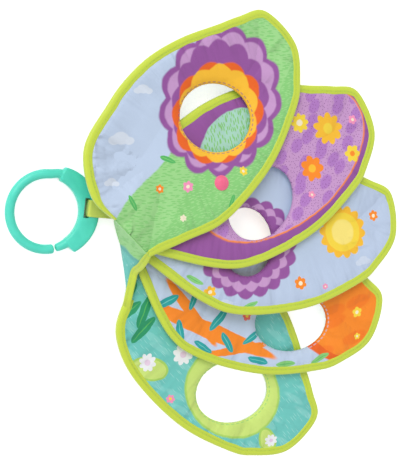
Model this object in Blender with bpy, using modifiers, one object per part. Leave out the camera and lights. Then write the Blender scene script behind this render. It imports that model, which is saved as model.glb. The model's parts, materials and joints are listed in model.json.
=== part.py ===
"""Soft cloth book: five padded leaves fanned out on one folded spine, with a link ring.

The book lies on its back cover. Each leaf is a thin pillow of two printed cloth panels
round a sheet of wadding, with a peek hole and a folded tape round its edge. The leaves
are sewn, one above the other, to a strip of spine cloth that twists from the back cover
up to the front cover. The strip is made in four lengths, one between each two leaves,
so that each leaf can turn on its own seam. Lengths are in metres, +Z is up, and the
origin is under the middle of the book, on the table.
"""
import math

import bmesh
import bpy
from mathutils import Matrix, Vector

# Driving sizes of a leaf
LEAF_LENGTH = 0.175
PANEL_THICKNESS = 0.0008
WADDING_THICKNESS = 0.0030
TAPE_THICKNESS = 0.0006
TAPE_WIDTH = 0.0050
SEAM_RIM = 0.0045
CROWN_RIM = 0.0065
HOLE_RIM = 0.0035
HOLE_MARGIN = 0.0042
WADDING_MARGIN = 0.0070
FILM_THICKNESS = 0.0003
GAP = 0.0003
STACK_CLEARANCE = 0.00055

# Sizes of the spine strip and its seams
SPINE_THICKNESS = 0.0008
SEAM_TRIM = 0.0007
LEAF_SEAM_INSET = 0.0019
COVER_SEAM_INSET = 0.0009
LEAF_TAIL_SETBACK = 0.0070
HEAD_SETBACK = 0.0020
BACK_SEAM_BOW = 0.0034
BACK_SEAM_LIFT = 0.0028

# Sizes of the squeaker and of the dot that marks it
SQUEAKER_RADIUS = 0.0070
SQUEAKER_REED_RADIUS = 0.0012
DOT_RADIUS = 0.0047
DOT_HEIGHT = 0.0013
DOT_EDGE = 0.0004

# Sizes of the link ring and its webbing
RING_INNER_RADIUS = 0.0202
RING_BAR_RADIUS = 0.0030
RING_OUTER_RADIUS = 0.0282
RING_OUTER_SHIFT = 0.0050
RING_THICKNESS = 0.0065
RING_EDGE = 0.0008
RING_STUB_TIP_RADIUS = 0.0024
WEB_RECESS = 0.0016
SLOT_WIDTH = 0.0036
SLOT_LENGTH = 0.0124
SLOT_INSET_SHARE = 0.6385
WEBBING_THICKNESS = 0.0009
WEBBING_WIDTH = 0.0104
WEBBING_CLEARANCE = 0.00035
WEBBING_REACH = 0.0062
TAB_LENGTH = 0.0045
TAB_HEIGHT = 0.0056
BEND_GAP = 0.0008

# Shares of the leaf length: the outline round the leaf, from the head of the spine to its
# tail. The first number runs along the leaf and the second across it.
OUTLINE_SHARES = (
    (0.019, 0.225), (0.139, 0.347), (0.315, 0.369), (0.431, 0.370), (0.560, 0.347),
    (0.693, 0.291), (0.818, 0.214), (0.902, 0.164), (0.986, 0.096), (0.969, -0.071),
    (0.860, -0.173), (0.762, -0.219), (0.536, -0.261), (0.269, -0.233), (0.111, -0.149),
)
NARROW_REACH_SHARE = 0.75

# Each leaf from the table up. The direction is in degrees from +X. Places are shares of
# the leaf length: the pivot of the leaf's own frame, the ends of its seam on the spine,
# and its hole. A lift counts leaf pitches, and so do the rise along one leaf length and
# the roll across it. The width share draws in the hidden side, and the head share starts
# the seam further along.
LEAVES = (
    {"name": "back_cover", "direction": -39.0, "pivot_share": (-0.317, -0.186),
     "lift_share": 0.0, "rise_share": 0.0, "roll_share": 0.0, "width_share": 1.0,
     "head_share": (-0.346, 0.038), "tail_share": (-0.295, -0.243), "start_share": 0.0,
     "hole_share": (0.626, -0.039), "hole_size_share": (0.146, 0.118), "hole_turn": 39.0},
    {"name": "leaf_4", "direction": -9.0, "pivot_share": (-0.232, -0.201),
     "lift_share": 1.0, "rise_share": 0.0, "roll_share": 0.0, "width_share": 0.55,
     "head_share": (-0.353, 0.032), "tail_share": (-0.266, -0.161), "start_share": 0.5,
     "hole_share": (0.610, -0.049), "hole_size_share": (0.150, 0.112), "hole_turn": 9.0},
    {"name": "leaf_3", "direction": 10.4, "pivot_share": (-0.170, -0.125),
     "lift_share": 2.545, "rise_share": -1.607, "roll_share": 4.52, "width_share": 1.0,
     "head_share": (-0.365, 0.039), "tail_share": (-0.258, -0.123), "start_share": 0.0,
     "hole_share": (0.332, 0.029), "hole_size_share": (0.126, 0.106), "hole_turn": 80.0},
    {"name": "leaf_2", "direction": 31.4, "pivot_share": (-0.171, -0.057),
     "lift_share": 3.244, "rise_share": -2.852, "roll_share": 3.29, "width_share": 1.0,
     "head_share": (-0.378, 0.049), "tail_share": (-0.255, -0.099), "start_share": 0.0,
     "hole_share": (0.401, -0.051), "hole_size_share": (0.151, 0.117), "hole_turn": 15.0},
    {"name": "front_cover", "direction": 52.8, "pivot_share": (-0.301, -0.024),
     "lift_share": 4.196, "rise_share": -3.853, "roll_share": 2.027, "width_share": 1.0,
     "head_share": (-0.390, 0.057), "tail_share": (-0.255, -0.079), "start_share": 0.0,
     "hole_share": (0.538, 0.020), "hole_size_share": (0.140, 0.124), "hole_turn": -52.8},
)
DOT_SHARE = (0.358, -0.132)
TAB_END_SHARE = (-0.3363, 0.0706)
WEBBING_TURN = -5.0
SLOT_TURN = 5.87
RING_BAR_START, RING_BAR_END = 66.0, 282.0
RING_PLATE_START, RING_PLATE_END = -52.0, 68.0
RING_STUB_START, RING_STUB_END = -50.0, -75.0

CROWD_SHARE = 0.97
MITRE_SHARE = 0.35

# Counts
LIFT_POWER = 3
CURVE_STEPS = 2
HOLE_SIDES = 20
SPINE_SECTIONS = 10
RING_ARC_STEP = 12.0
ROUND_SIDES = 24

# Worked out from the sizes above
CROWN = WADDING_THICKNESS / 2 + GAP + PANEL_THICKNESS
EDGE = GAP / 2 + PANEL_THICKNESS
PITCH = 2 * CROWN + STACK_CLEARANCE
SEAM_HEIGHT = CROWN - GAP - TAPE_THICKNESS
PANEL_INSET = TAPE_THICKNESS + GAP
RING_REACH = RING_OUTER_SHIFT + RING_OUTER_RADIUS
SLOT_INSET = SLOT_INSET_SHARE * (RING_REACH - RING_INNER_RADIUS)

COLOURS = {
    "sky_print": (0.62, 0.72, 0.86), "lilac_print": (0.45, 0.22, 0.56),
    "pale_print": (0.66, 0.75, 0.88), "orange_print": (0.92, 0.38, 0.06),
    "water_print": (0.27, 0.66, 0.64), "lime_satin": (0.62, 0.74, 0.10),
    "white_wadding": (0.92, 0.92, 0.90), "clear_film": (0.85, 0.87, 0.88),
    "spine_print": (0.25, 0.60, 0.50), "coral_dot": (0.95, 0.22, 0.34),
    "mint_plastic": (0.16, 0.72, 0.62), "white_plastic": (0.88, 0.88, 0.86),
}
PRINTS = {
    "back_cover": "water_print", "leaf_4": "orange_print", "leaf_3": "pale_print",
    "leaf_2": "lilac_print", "front_cover": "sky_print",
}


def clear_scene():
    """Empty the scene and make the collections for the book and for its cutters."""
    for item in list(bpy.data.objects):
        bpy.data.objects.remove(item, do_unlink=True)
    made = []
    for name in ("cloth_book", "cutters"):
        collection = bpy.data.collections.new(name)
        bpy.context.scene.collection.children.link(collection)
        made.append(collection)
    return made


def material(name):
    """A plain finish for one part: cloth is rough, plastic is smoother."""
    made = bpy.data.materials.get(name)
    if made is None:
        made = bpy.data.materials.new(name)
        made.use_nodes = True
        shader = made.node_tree.nodes["Principled BSDF"]
        shader.inputs["Base Color"].default_value = (*COLOURS[name], 1)
        shader.inputs["Metallic"].default_value = 0
        rough = 0.35 if "plastic" in name else 0.75
        shader.inputs["Roughness"].default_value = rough
    return made


def add_object(name, data, finish, parent, place=None):
    """Put a mesh or curve in the book, riding on its parent empty."""
    made = bpy.data.objects.new(name, data)
    BOOK.objects.link(made)
    data.materials.append(material(finish))
    made.parent = parent
    made.matrix_local = parent_matrix(parent).inverted() @ (place or Matrix())
    return made


def parent_matrix(empty):
    """The world place of an empty before the book is centred."""
    place = Matrix()
    while empty is not None:
        place = Matrix.Translation(empty.location) @ place
        empty = empty.parent
    return place


def add_empty(name, point, parent):
    """An empty on a joint's axis, turned as the world is."""
    made = bpy.data.objects.new(name, None)
    BOOK.objects.link(made)
    made.parent = parent
    made.location = point - parent_matrix(parent).translation if parent else point
    return made


def plan(share):
    """A place on the table from shares of the leaf length."""
    return Vector((share[0] * LEAF_LENGTH, share[1] * LEAF_LENGTH))


def spline(points, steps, closed=False):
    """Points along a smooth curve through the given ones."""
    count = len(points)
    spans = count if closed else count - 1
    result = []
    for i in range(spans):
        a, b, c, d = (points[(i + k - 1) % count if closed else min(max(i + k - 1, 0), count - 1)]
                      for k in range(4))
        for j in range(steps):
            t = j / steps
            blend = (b * 2 + (c - a) * t + (a * 2 - b * 5 + c * 4 - d) * t * t
                     + (b * 3 - a - c * 3 + d) * t * t * t)
            result.append(blend / 2)
    if not closed:
        result.append(points[-1].copy())
    return result


def inward_normals(loop):
    """Mitred inward directions at the corners of a counter-clockwise loop."""
    normals = []
    for i, point in enumerate(loop):
        before = (point - loop[i - 1]).normalized()
        after = (loop[(i + 1) % len(loop)] - point).normalized()
        side_before = Vector((-before.y, before.x))
        side_after = Vector((-after.y, after.x))
        middle = (side_before + side_after).normalized()
        reach = max(middle.dot(side_before), MITRE_SHARE)
        normals.append(middle / reach)
    return normals


def distance_to_loop(point, loop):
    """How far a point is from the nearest side of a loop."""
    nearest = math.inf
    for i, end in enumerate(loop):
        start = loop[i - 1]
        side = end - start
        share = min(max((point - start).dot(side) / side.length_squared, 0), 1)
        nearest = min(nearest, (start + side * share - point).length)
    return nearest


def inset(loop, distance):
    """The loop moved inwards by a distance, without the points that crowd at a corner."""
    moved = [p + n * distance for p, n in zip(loop, inward_normals(loop))]
    return [p for p in moved if distance_to_loop(p, loop) > distance * CROWD_SHARE]


def ellipse(centre, half_sizes, turn, sides, grow=0.0):
    """Points round an ellipse, turned by some degrees."""
    angle = math.radians(turn)
    result = []
    for i in range(sides):
        a = math.tau * i / sides
        x = (half_sizes[0] + grow) * math.cos(a)
        y = (half_sizes[1] + grow) * math.sin(a)
        result.append(Vector((centre.x + x * math.cos(angle) - y * math.sin(angle),
                              centre.y + x * math.sin(angle) + y * math.cos(angle))))
    return result


def plane_height(leaf, along, across):
    """Height of a leaf's middle plane above the table."""
    lift = leaf["lift_share"] + (leaf["rise_share"] * along - leaf["roll_share"] * across) / LEAF_LENGTH
    return CROWN + PITCH * lift


def leaf_matrix(leaf):
    """The frame of a leaf: x along it, y across it and z out of its face."""
    angle = math.radians(leaf["direction"])
    rise = PITCH * leaf["rise_share"] / LEAF_LENGTH
    roll = PITCH * leaf["roll_share"] / LEAF_LENGTH
    flat_along = Vector((math.cos(angle), math.sin(angle), rise))
    flat_across = Vector((-math.sin(angle), math.cos(angle), -roll))
    normal = flat_along.cross(flat_across).normalized()
    along = flat_along.normalized()
    across = normal.cross(along)
    pivot = plan(leaf["pivot_share"])
    place = Matrix((along, across, normal)).transposed().to_4x4()
    place.translation = Vector((pivot.x, pivot.y, plane_height(leaf, 0, 0)))
    return place


def on_plane(leaf, point):
    """The point of a leaf's middle plane above a place on the table."""
    angle = math.radians(leaf["direction"])
    step = point - plan(leaf["pivot_share"])
    along = step.x * math.cos(angle) + step.y * math.sin(angle)
    across = step.y * math.cos(angle) - step.x * math.sin(angle)
    return Vector((point.x, point.y, plane_height(leaf, along, across)))


def seam_line(leaf):
    """The two ends of the line on the spine that a leaf is sewn along, head first."""
    return on_plane(leaf, plan(leaf["head_share"])), on_plane(leaf, plan(leaf["tail_share"]))


def seam_ends(leaf):
    """The ends of a leaf's own edge at the spine, set in from the strip."""
    head, tail = seam_line(leaf)
    run = (tail - head).normalized()
    side = Vector((-run.y, run.x, 0)).normalized()
    cover = leaf["name"].endswith("cover")
    inwards = COVER_SEAM_INSET if leaf["name"] == "back_cover" else LEAF_SEAM_INSET
    short = 0.0 if cover else LEAF_TAIL_SETBACK
    start = HEAD_SETBACK + leaf["start_share"] * (tail - head).length
    return head + run * start + side * inwards, tail - run * short + side * inwards


def leaf_outline(leaf):
    """The outer edge of a leaf in its own frame, counter-clockwise, head last."""
    into = leaf_matrix(leaf).inverted()
    head, tail = (Vector((into @ end)[:2]) for end in seam_ends(leaf))
    points = [head]
    for along, across in OUTLINE_SHARES:
        drawn = leaf["width_share"] if across > 0 and along < NARROW_REACH_SHARE else 1.0
        points.append(Vector((along * LEAF_LENGTH, across * drawn * LEAF_LENGTH)))
    points.append(tail)
    edge = spline(points, CURVE_STEPS)
    edge.reverse()
    return edge


def hole_loop(leaf, grow=0.0):
    """The edge of a leaf's peek hole, or a loop that much further out."""
    sizes = [share * LEAF_LENGTH for share in leaf["hole_size_share"]]
    return ellipse(plan(leaf["hole_share"]), sizes, leaf["hole_turn"], HOLE_SIDES, grow)


def seam_bow(leaf):
    """Points between the ends of the back cover's seam, which curves in."""
    if leaf["name"] != "back_cover":
        return []
    edge = leaf_outline(leaf)
    head, tail = edge[-1], edge[0]
    run = (tail - head).normalized()
    side = Vector((-run.y, run.x))
    result = []
    for share in (0.25, 0.5, 0.75):
        bow = BACK_SEAM_BOW * 4 * share * (1 - share)
        result.append(head.lerp(tail, share) + side * bow)
    return result


def panel(leaf, side, parent):
    """One printed cloth panel: flat at its sewn edges and crowned over the wadding."""
    outline = leaf_outline(leaf) + seam_bow(leaf)
    rings = (
        (inset(outline, PANEL_INSET), EDGE),
        (inset(outline, PANEL_INSET + SEAM_RIM), SEAM_HEIGHT),
        (inset(outline, PANEL_INSET + CROWN_RIM), CROWN),
        (hole_loop(leaf, HOLE_RIM), CROWN),
        (hole_loop(leaf), EDGE),
    )
    mesh = bmesh.new()
    loops = []
    for points, height in rings:
        verts = [mesh.verts.new((p.x, p.y, side * height)) for p in points]
        loops.append([mesh.edges.new((verts[i - 1], verts[i])) for i in range(len(verts))])
    for outer, inner in zip(loops, loops[1:]):
        bmesh.ops.triangle_fill(mesh, use_beauty=True, edges=outer + inner)
    bmesh.ops.recalc_face_normals(mesh, faces=mesh.faces[:])
    if sum(face.normal.z for face in mesh.faces) * side < 0:
        bmesh.ops.reverse_faces(mesh, faces=mesh.faces[:])
    label = "top_panel" if side > 0 else "under_panel"
    name = f"{leaf['name']}_{label}"
    data = bpy.data.meshes.new(name)
    mesh.to_mesh(data)
    mesh.free()
    made = add_object(name, data, PRINTS[leaf["name"]], parent, leaf_matrix(leaf))
    wall = made.modifiers.new("cloth", "SOLIDIFY")
    wall.thickness = PANEL_THICKNESS
    wall.offset = -1
    return made


def plate(name, loops, low, high, finish, parent, place):
    """A flat piece cut to a loop, with any holes, between two heights."""
    data = bpy.data.curves.new(name, "CURVE")
    data.dimensions = "2D"
    data.fill_mode = "BOTH"
    data.extrude = (high - low) / 2
    for loop in loops:
        path = data.splines.new("POLY")
        path.points.add(len(loop) - 1)
        for point, target in zip(loop, path.points):
            target.co = (point.x, point.y, 0, 1)
        path.use_cyclic_u = True
    middle = Matrix.Translation((0, 0, (low + high) / 2))
    return mesh_copy(add_object(name, data, finish, parent, place @ middle))


def loft(name, sections, finish, parent, place=None):
    """A closed body through a row of sections that have as many points each."""
    mesh = bmesh.new()
    rows = [[mesh.verts.new(point) for point in section] for section in sections]
    count = len(rows[0])
    for first, second in zip(rows, rows[1:]):
        for i in range(count):
            mesh.faces.new((first[i - 1], first[i], second[i], second[i - 1]))
    mesh.faces.new(rows[0])
    mesh.faces.new(list(reversed(rows[-1])))
    mesh.normal_update()
    bmesh.ops.triangulate(mesh, faces=mesh.faces[:])
    bmesh.ops.recalc_face_normals(mesh, faces=mesh.faces[:])
    data = bpy.data.meshes.new(name)
    mesh.to_mesh(data)
    mesh.free()
    return add_object(name, data, finish, parent, place)


def tape_section(at, inwards):
    """The folded tape cut across: a channel over the panels' edges, open inwards."""
    slope = (SEAM_HEIGHT - EDGE) / SEAM_RIM
    low = EDGE + GAP
    high = low + (TAPE_WIDTH - PANEL_INSET) * slope
    top = ((TAPE_WIDTH, high + TAPE_THICKNESS), (0.0, low + TAPE_THICKNESS))
    inner = ((TAPE_THICKNESS, low), (TAPE_WIDTH, high))
    under = [(depth, -height) for depth, height in reversed(top)]
    fold = [(depth, -height) for depth, height in reversed(inner)]
    across = Vector((inwards.x, inwards.y, 0))
    start = Vector((at.x, at.y, 0))
    return [start + across * depth + Vector((0, 0, height))
            for depth, height in (*top, *under, *fold, *inner)]


def binding(leaf, parent):
    """The tape that is folded round a leaf, from the tail of the spine to its head."""
    edge = leaf_outline(leaf)
    normals = inward_normals(edge)
    seam = (edge[-1] - edge[0]).normalized()
    for end, cut in ((0, seam), (-1, -seam)):
        run = (edge[1] - edge[0] if end == 0 else edge[-1] - edge[-2]).normalized()
        inwards = Vector((-run.y, run.x))
        normals[end] = cut / max(cut.dot(inwards), MITRE_SHARE)
    stop = len(edge) if leaf["name"] == "front_cover" else len(edge) - 1
    sections = [tape_section(edge[i], normals[i]) for i in range(stop)]
    name = f"{leaf['name']}_binding"
    return loft(name, sections, "lime_satin", parent, leaf_matrix(leaf))


def leaf_pieces(leaf, parent):
    """Every piece of one padded leaf."""
    panel(leaf, 1, parent)
    panel(leaf, -1, parent)
    binding(leaf, parent)
    place = leaf_matrix(leaf)
    outline = inset(leaf_outline(leaf) + seam_bow(leaf), PANEL_INSET + WADDING_MARGIN)
    loops = [outline, hole_loop(leaf, HOLE_MARGIN)]
    low, high = -WADDING_THICKNESS / 2, WADDING_THICKNESS / 2
    front = leaf["name"] == "front_cover"
    if leaf["name"].endswith("cover"):
        film_low = high - FILM_THICKNESS
        plate(f"{leaf['name']}_crinkle_film", loops, film_low, high, "clear_film", parent, place)
        high = film_low - GAP
    pocket = []
    if front:
        middle = plan(DOT_SHARE)
        radius = SQUEAKER_RADIUS + GAP
        pocket = [ellipse(middle, (radius, radius), 0, ROUND_SIDES)]
    name = f"{leaf['name']}_wadding"
    plate(name, loops + pocket, low, high, "white_wadding", parent, place)
    if front:
        squeaker_and_dot(middle, low, high, parent, place)


def squeaker_and_dot(middle, low, high, parent, place):
    """The flat squeaker in its pocket and the raised dot above it."""
    body = ellipse(middle, (SQUEAKER_RADIUS, SQUEAKER_RADIUS), 0, ROUND_SIDES)
    reed = ellipse(middle, (SQUEAKER_REED_RADIUS, SQUEAKER_REED_RADIUS), 0, ROUND_SIDES // 3)
    plate("squeaker", [body, reed], low, high, "white_plastic", parent, place)
    sections = []
    profile = ((DOT_RADIUS, 0.0), (DOT_RADIUS, DOT_HEIGHT - 2 * DOT_EDGE),
               (DOT_RADIUS - DOT_EDGE, DOT_HEIGHT - DOT_EDGE), (DOT_RADIUS / 2, DOT_HEIGHT))
    for radius, height in profile:
        ring = ellipse(middle, (radius, radius), 0, ROUND_SIDES)
        sections.append([Vector((p.x, p.y, CROWN + GAP + height)) for p in ring])
    loft("squeak_dot", sections, "coral_dot", parent, place)


def strip_line(index):
    """Points along the spine strip where a leaf joins it, from head to tail."""
    leaf = LEAVES[index]
    head, tail = seam_line(leaf)
    run = (tail - head).normalized()
    side = Vector((-run.y, run.x, 0)).normalized()
    result = []
    for i in range(SPINE_SECTIONS):
        share = i / (SPINE_SECTIONS - 1)
        point = head.lerp(tail, share)
        if index == 0:
            bow = BACK_SEAM_BOW * 4 * share * (1 - share) + COVER_SEAM_INSET
            rise = EDGE + GAP * 2 + SPINE_THICKNESS / 2 + BACK_SEAM_LIFT * share ** LIFT_POWER
            point = point + side * bow + Vector((0, 0, rise))
        result.append(point)
    return result


def spine_length(index, parent):
    """The length of the spine strip between a leaf and the next one up."""
    low, high = strip_line(index), strip_line(index + 1)
    sections = []
    for i, (bottom, top) in enumerate(zip(low, high)):
        up = (top - bottom).normalized()
        row = min(i, SPINE_SECTIONS - 2)
        run = (high[row + 1] - high[row] + low[row + 1] - low[row]).normalized()
        out = up.cross(run)
        trim = min(SEAM_TRIM / out.length, (top - bottom).length / 3)
        out = out.normalized() * (SPINE_THICKNESS / 2)
        start, stop = bottom + up * trim, top - up * trim
        sections.append([start - out, start + out, stop + out, stop - out])
    name = f"spine_strip_{index + 1}"
    loft(name, sections, "spine_print", parent)


def mesh_copy(source):
    """A mesh object in place of a curve, with its caps welded, so that it can be cut."""
    bpy.context.view_layer.update()
    graph = bpy.context.evaluated_depsgraph_get()
    data = bpy.data.meshes.new_from_object(source.evaluated_get(graph))
    mesh = bmesh.new()
    mesh.from_mesh(data)
    bmesh.ops.remove_doubles(mesh, verts=mesh.verts[:], dist=GAP / 10)
    bmesh.ops.recalc_face_normals(mesh, faces=mesh.faces[:])
    mesh.to_mesh(data)
    mesh.free()
    made = bpy.data.objects.new(source.name, data)
    BOOK.objects.link(made)
    made.parent = source.parent
    made.matrix_local = source.matrix_local
    name = source.name
    bpy.data.objects.remove(source, do_unlink=True)
    made.name = name
    return made


def ring_bar(name, start, stop, first_radius, last_radius, parent, place):
    """A round bar bent round the ring, thinning towards one end if asked."""
    steps = max(2, round(abs(stop - start) / RING_ARC_STEP))
    data = bpy.data.curves.new(name, "CURVE")
    data.dimensions = "3D"
    data.bevel_depth = first_radius
    data.bevel_resolution = 2
    data.use_fill_caps = True
    path = data.splines.new("POLY")
    path.points.add(steps)
    middle = RING_INNER_RADIUS + RING_BAR_RADIUS
    for i, target in enumerate(path.points):
        share = i / steps
        angle = math.radians(start + (stop - start) * share)
        target.co = (middle * math.cos(angle), middle * math.sin(angle), 0, 1)
        target.radius = 1 + (last_radius / first_radius - 1) * share
    return mesh_copy(add_object(name, data, "mint_plastic", parent, place))


def use_cutter(target, cutter, operation):
    """Cut or join one mesh with another, which is then only a guide."""
    step = target.modifiers.new(cutter.name, "BOOLEAN")
    step.operation = operation
    step.object = cutter
    step.solver = "EXACT"
    cutter.hide_render = True
    cutter.display_type = "WIRE"
    for collection in list(cutter.users_collection):
        collection.objects.unlink(cutter)
    CUTTERS.objects.link(cutter)


def box_cutter(name, low, high, parent, place):
    """A box between two corners, in the ring's own frame."""
    mesh = bmesh.new()
    bmesh.ops.create_cube(mesh, size=1)
    middle = [(a + b) / 2 for a, b in zip(low, high)]
    size = [b - a for a, b in zip(low, high)]
    bmesh.ops.scale(mesh, vec=size, verts=mesh.verts[:])
    bmesh.ops.translate(mesh, vec=middle, verts=mesh.verts[:])
    data = bpy.data.meshes.new(name)
    mesh.to_mesh(data)
    mesh.free()
    return add_object(name, data, "mint_plastic", parent, place)


def link_ring(parent, place, strap):
    """The plastic link: a round bar, a flat thick side with a slot, and a snap gap."""
    outer, inner = [], []
    steps = round((RING_PLATE_END - RING_PLATE_START) / RING_ARC_STEP)
    for i in range(steps + 1):
        angle = math.radians(RING_PLATE_START + (RING_PLATE_END - RING_PLATE_START) * i / steps)
        turn = Vector((math.cos(angle), math.sin(angle)))
        inner.append(turn * RING_INNER_RADIUS)
        reach = RING_OUTER_SHIFT * turn.x
        across = RING_OUTER_SHIFT * turn.y
        outer.append(turn * (reach + math.sqrt(RING_OUTER_RADIUS ** 2 - across ** 2)))
    half = RING_THICKNESS / 2
    body = plate("link_ring", [outer + inner[::-1]], -half, half, "mint_plastic", parent, place)
    edges = body.modifiers.new("soft_edges", "BEVEL")
    edges.width = RING_EDGE
    edges.segments = 1
    edges.limit_method = "ANGLE"
    edges.angle_limit = math.radians(50)
    bar = ring_bar("ring_bar_form", RING_BAR_START, RING_BAR_END, RING_BAR_RADIUS,
                   RING_BAR_RADIUS, parent, place)
    use_cutter(body, bar, "UNION")
    stub = ring_bar("ring_stub_form", RING_STUB_START, RING_STUB_END, RING_BAR_RADIUS,
                    RING_STUB_TIP_RADIUS, parent, place)
    use_cutter(body, stub, "UNION")
    wide, long = SLOT_WIDTH / 2, SLOT_LENGTH / 2
    cut = box_cutter("slot_cutter", (-wide, -long, -RING_THICKNESS),
                     (wide, long, RING_THICKNESS), parent, strap)
    use_cutter(body, cut, "DIFFERENCE")
    recess = box_cutter("recess_cutter", (GAP - wide, -long, -RING_THICKNESS),
                        (SLOT_INSET * 2, long, WEB_RECESS - half), parent, strap)
    use_cutter(body, recess, "DIFFERENCE")


def webbing(parent, tab_parent, strap):
    """The webbing: a loop through the ring's slot, and the sewn tab at the spine."""
    thick = WEBBING_THICKNESS
    web_in = SLOT_WIDTH / 2 - WEBBING_CLEARANCE
    web_out = SLOT_INSET + WEBBING_CLEARANCE
    low = WEB_RECESS - WEBBING_CLEARANCE
    high = RING_THICKNESS + WEBBING_CLEARANCE
    end = web_out + WEBBING_REACH
    join = TAB_HEIGHT + thick
    hole = [(web_in, low), (web_out, low), (end - WEBBING_REACH / 2, join), (web_out, high),
            (web_in, high)]
    skin = [(web_in - thick, low - thick), (web_out, low - thick), (end, join - thick),
            (end, join + thick), (web_out, high + thick), (web_in - thick, high + thick)]
    upright = Matrix.Rotation(math.radians(90), 4, "X")
    stand = strap @ Matrix.Translation((0, 0, -RING_THICKNESS / 2)) @ upright
    loops = [[Vector(point) for point in loop] for loop in (skin, hole)]
    width = WEBBING_WIDTH / 2
    plate("webbing_loop", loops, -width, width, "lime_satin", parent, stand)
    start = end + BEND_GAP
    stop = start + TAB_LENGTH
    tab = [(start, join - thick), (stop, join - thick), (stop, join + thick), (start, join + thick)]
    plate("webbing_tab", [[Vector(point) for point in tab]], -width, width, "lime_satin",
          tab_parent, stand)


def centre_book(origin):
    """Move the book so that the origin is under the middle of its box."""
    bpy.context.view_layer.update()
    graph = bpy.context.evaluated_depsgraph_get()
    corners = []
    for item in BOOK.objects:
        if item.type in {"MESH", "CURVE"}:
            solid = item.evaluated_get(graph)
            corners += [solid.matrix_world @ vert.co for vert in solid.data.vertices]
    middle_x = (min(c.x for c in corners) + max(c.x for c in corners)) / 2
    middle_y = (min(c.y for c in corners) + max(c.y for c in corners)) / 2
    origin.location = (-middle_x, -middle_y, 0)
    bpy.context.view_layer.update()


def build_book():
    """Build every piece, from the back cover up, and print the joint axes."""
    origin = add_empty("book_origin", Vector((0, 0, 0)), None)
    parent = origin
    axes = []
    for index, leaf in enumerate(LEAVES):
        if index:
            head, tail = seam_line(leaf)
            parent = add_empty(f"{leaf['name']}_seam", head, parent)
            axes.append((leaf["name"], parent, (tail - head).normalized()))
        leaf_pieces(leaf, parent)
        if index < len(LEAVES) - 1:
            spine_length(index, parent)

    reach = SLOT_INSET + WEBBING_CLEARANCE + WEBBING_REACH + BEND_GAP / 2
    strap_turn, slot_turn = math.radians(WEBBING_TURN), math.radians(SLOT_TURN)
    strap_run = Vector((math.cos(strap_turn), math.sin(strap_turn)))
    slot_run = Vector((math.cos(slot_turn), math.sin(slot_turn)))
    slot = plan(TAB_END_SHARE) - strap_run * (reach + BEND_GAP / 2 + TAB_LENGTH)
    ring = slot - slot_run * (RING_REACH - SLOT_INSET)
    place = Matrix.Translation((ring.x, ring.y, RING_THICKNESS / 2))
    strap = (Matrix.Translation((slot.x, slot.y, RING_THICKNESS / 2))
             @ Matrix.Rotation(strap_turn, 4, "Z"))
    height = TAB_HEIGHT + WEBBING_THICKNESS - RING_THICKNESS / 2
    bend = add_empty("webbing_bend", strap @ Vector((reach, 0, height)), origin)
    link_ring(bend, place, strap)
    webbing(bend, origin, strap)
    across = strap.to_3x3() @ Vector((0, -1, 0))
    axes.append(("webbing", bend, across))
    centre_book(origin)
    for name, empty, direction in axes:
        at = empty.matrix_world.translation
        print("joint of", name, [round(c, 5) for c in at], [round(c, 4) for c in direction])


BOOK, CUTTERS = clear_scene()
build_book()
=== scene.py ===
# %% [markdown]
# # A soft cloth book, dressed
# The imported model gives us five padded leaves, their edge tapes, a folded spine and a link
# ring, all stiff and faceted. This lesson puts sewn, printed cloth in their place. Each new
# piece lies where its solid lies, because both use the same driving sizes.

# %% Load the fixed frame
import json
import math

import bmesh
import bpy
import numpy as np
from mathutils import Matrix, Vector


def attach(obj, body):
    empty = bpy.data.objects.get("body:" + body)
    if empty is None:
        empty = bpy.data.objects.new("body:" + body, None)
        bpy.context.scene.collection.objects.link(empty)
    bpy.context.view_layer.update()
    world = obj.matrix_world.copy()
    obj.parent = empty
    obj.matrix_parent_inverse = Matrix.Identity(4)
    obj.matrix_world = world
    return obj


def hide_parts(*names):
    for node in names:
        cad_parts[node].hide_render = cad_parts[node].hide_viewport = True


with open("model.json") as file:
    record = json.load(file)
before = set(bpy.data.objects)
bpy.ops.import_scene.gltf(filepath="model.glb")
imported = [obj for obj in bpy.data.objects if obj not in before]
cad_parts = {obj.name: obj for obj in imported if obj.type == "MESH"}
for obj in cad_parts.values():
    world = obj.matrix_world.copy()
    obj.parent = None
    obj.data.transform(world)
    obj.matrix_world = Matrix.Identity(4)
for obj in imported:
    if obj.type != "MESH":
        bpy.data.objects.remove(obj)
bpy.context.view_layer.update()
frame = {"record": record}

# %% [markdown]
# ## Camera and studio
# The book lies on a white table and is seen from above, a little from the ring's side. A
# camera that looks down one way only would do, but two small tilts match the photograph's
# view, so the camera's turn is written as those two tilts.

# %% Camera
CAMERA_DISTANCE = 0.8312
CAMERA_TILT = math.radians(5.61)
CAMERA_LEAN = math.radians(22.55)
CAMERA_LENS = 101.5
CAMERA_SHIFT = (-0.0015, 0.0031)
VIEW_CENTRE = Vector((-0.0051, 0.0045, 0))

eye = bpy.data.objects.new("studio_camera", bpy.data.cameras.new("studio_camera"))
bpy.context.scene.collection.objects.link(eye)
bpy.context.scene.camera = eye
eye.data.lens = CAMERA_LENS
eye.data.shift_x, eye.data.shift_y = CAMERA_SHIFT
eye.data.clip_start, eye.data.clip_end = 0.05, 10
camera_turn = Matrix.Rotation(-CAMERA_TILT, 4, "X") @ Matrix.Rotation(-CAMERA_LEAN, 4, "Y")
eye.matrix_world = (Matrix.Translation(VIEW_CENTRE) @ camera_turn
                    @ Matrix.Translation((0, 0, CAMERA_DISTANCE)))
print("camera at", [round(c, 3) for c in eye.matrix_world.translation])

# %% [markdown]
# ## Short calls for nodes
# The studio's sky and every material are built from the same few nodes. Blender's own calls
# could be written out one by one, but a small class keeps each recipe short enough to read.

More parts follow.
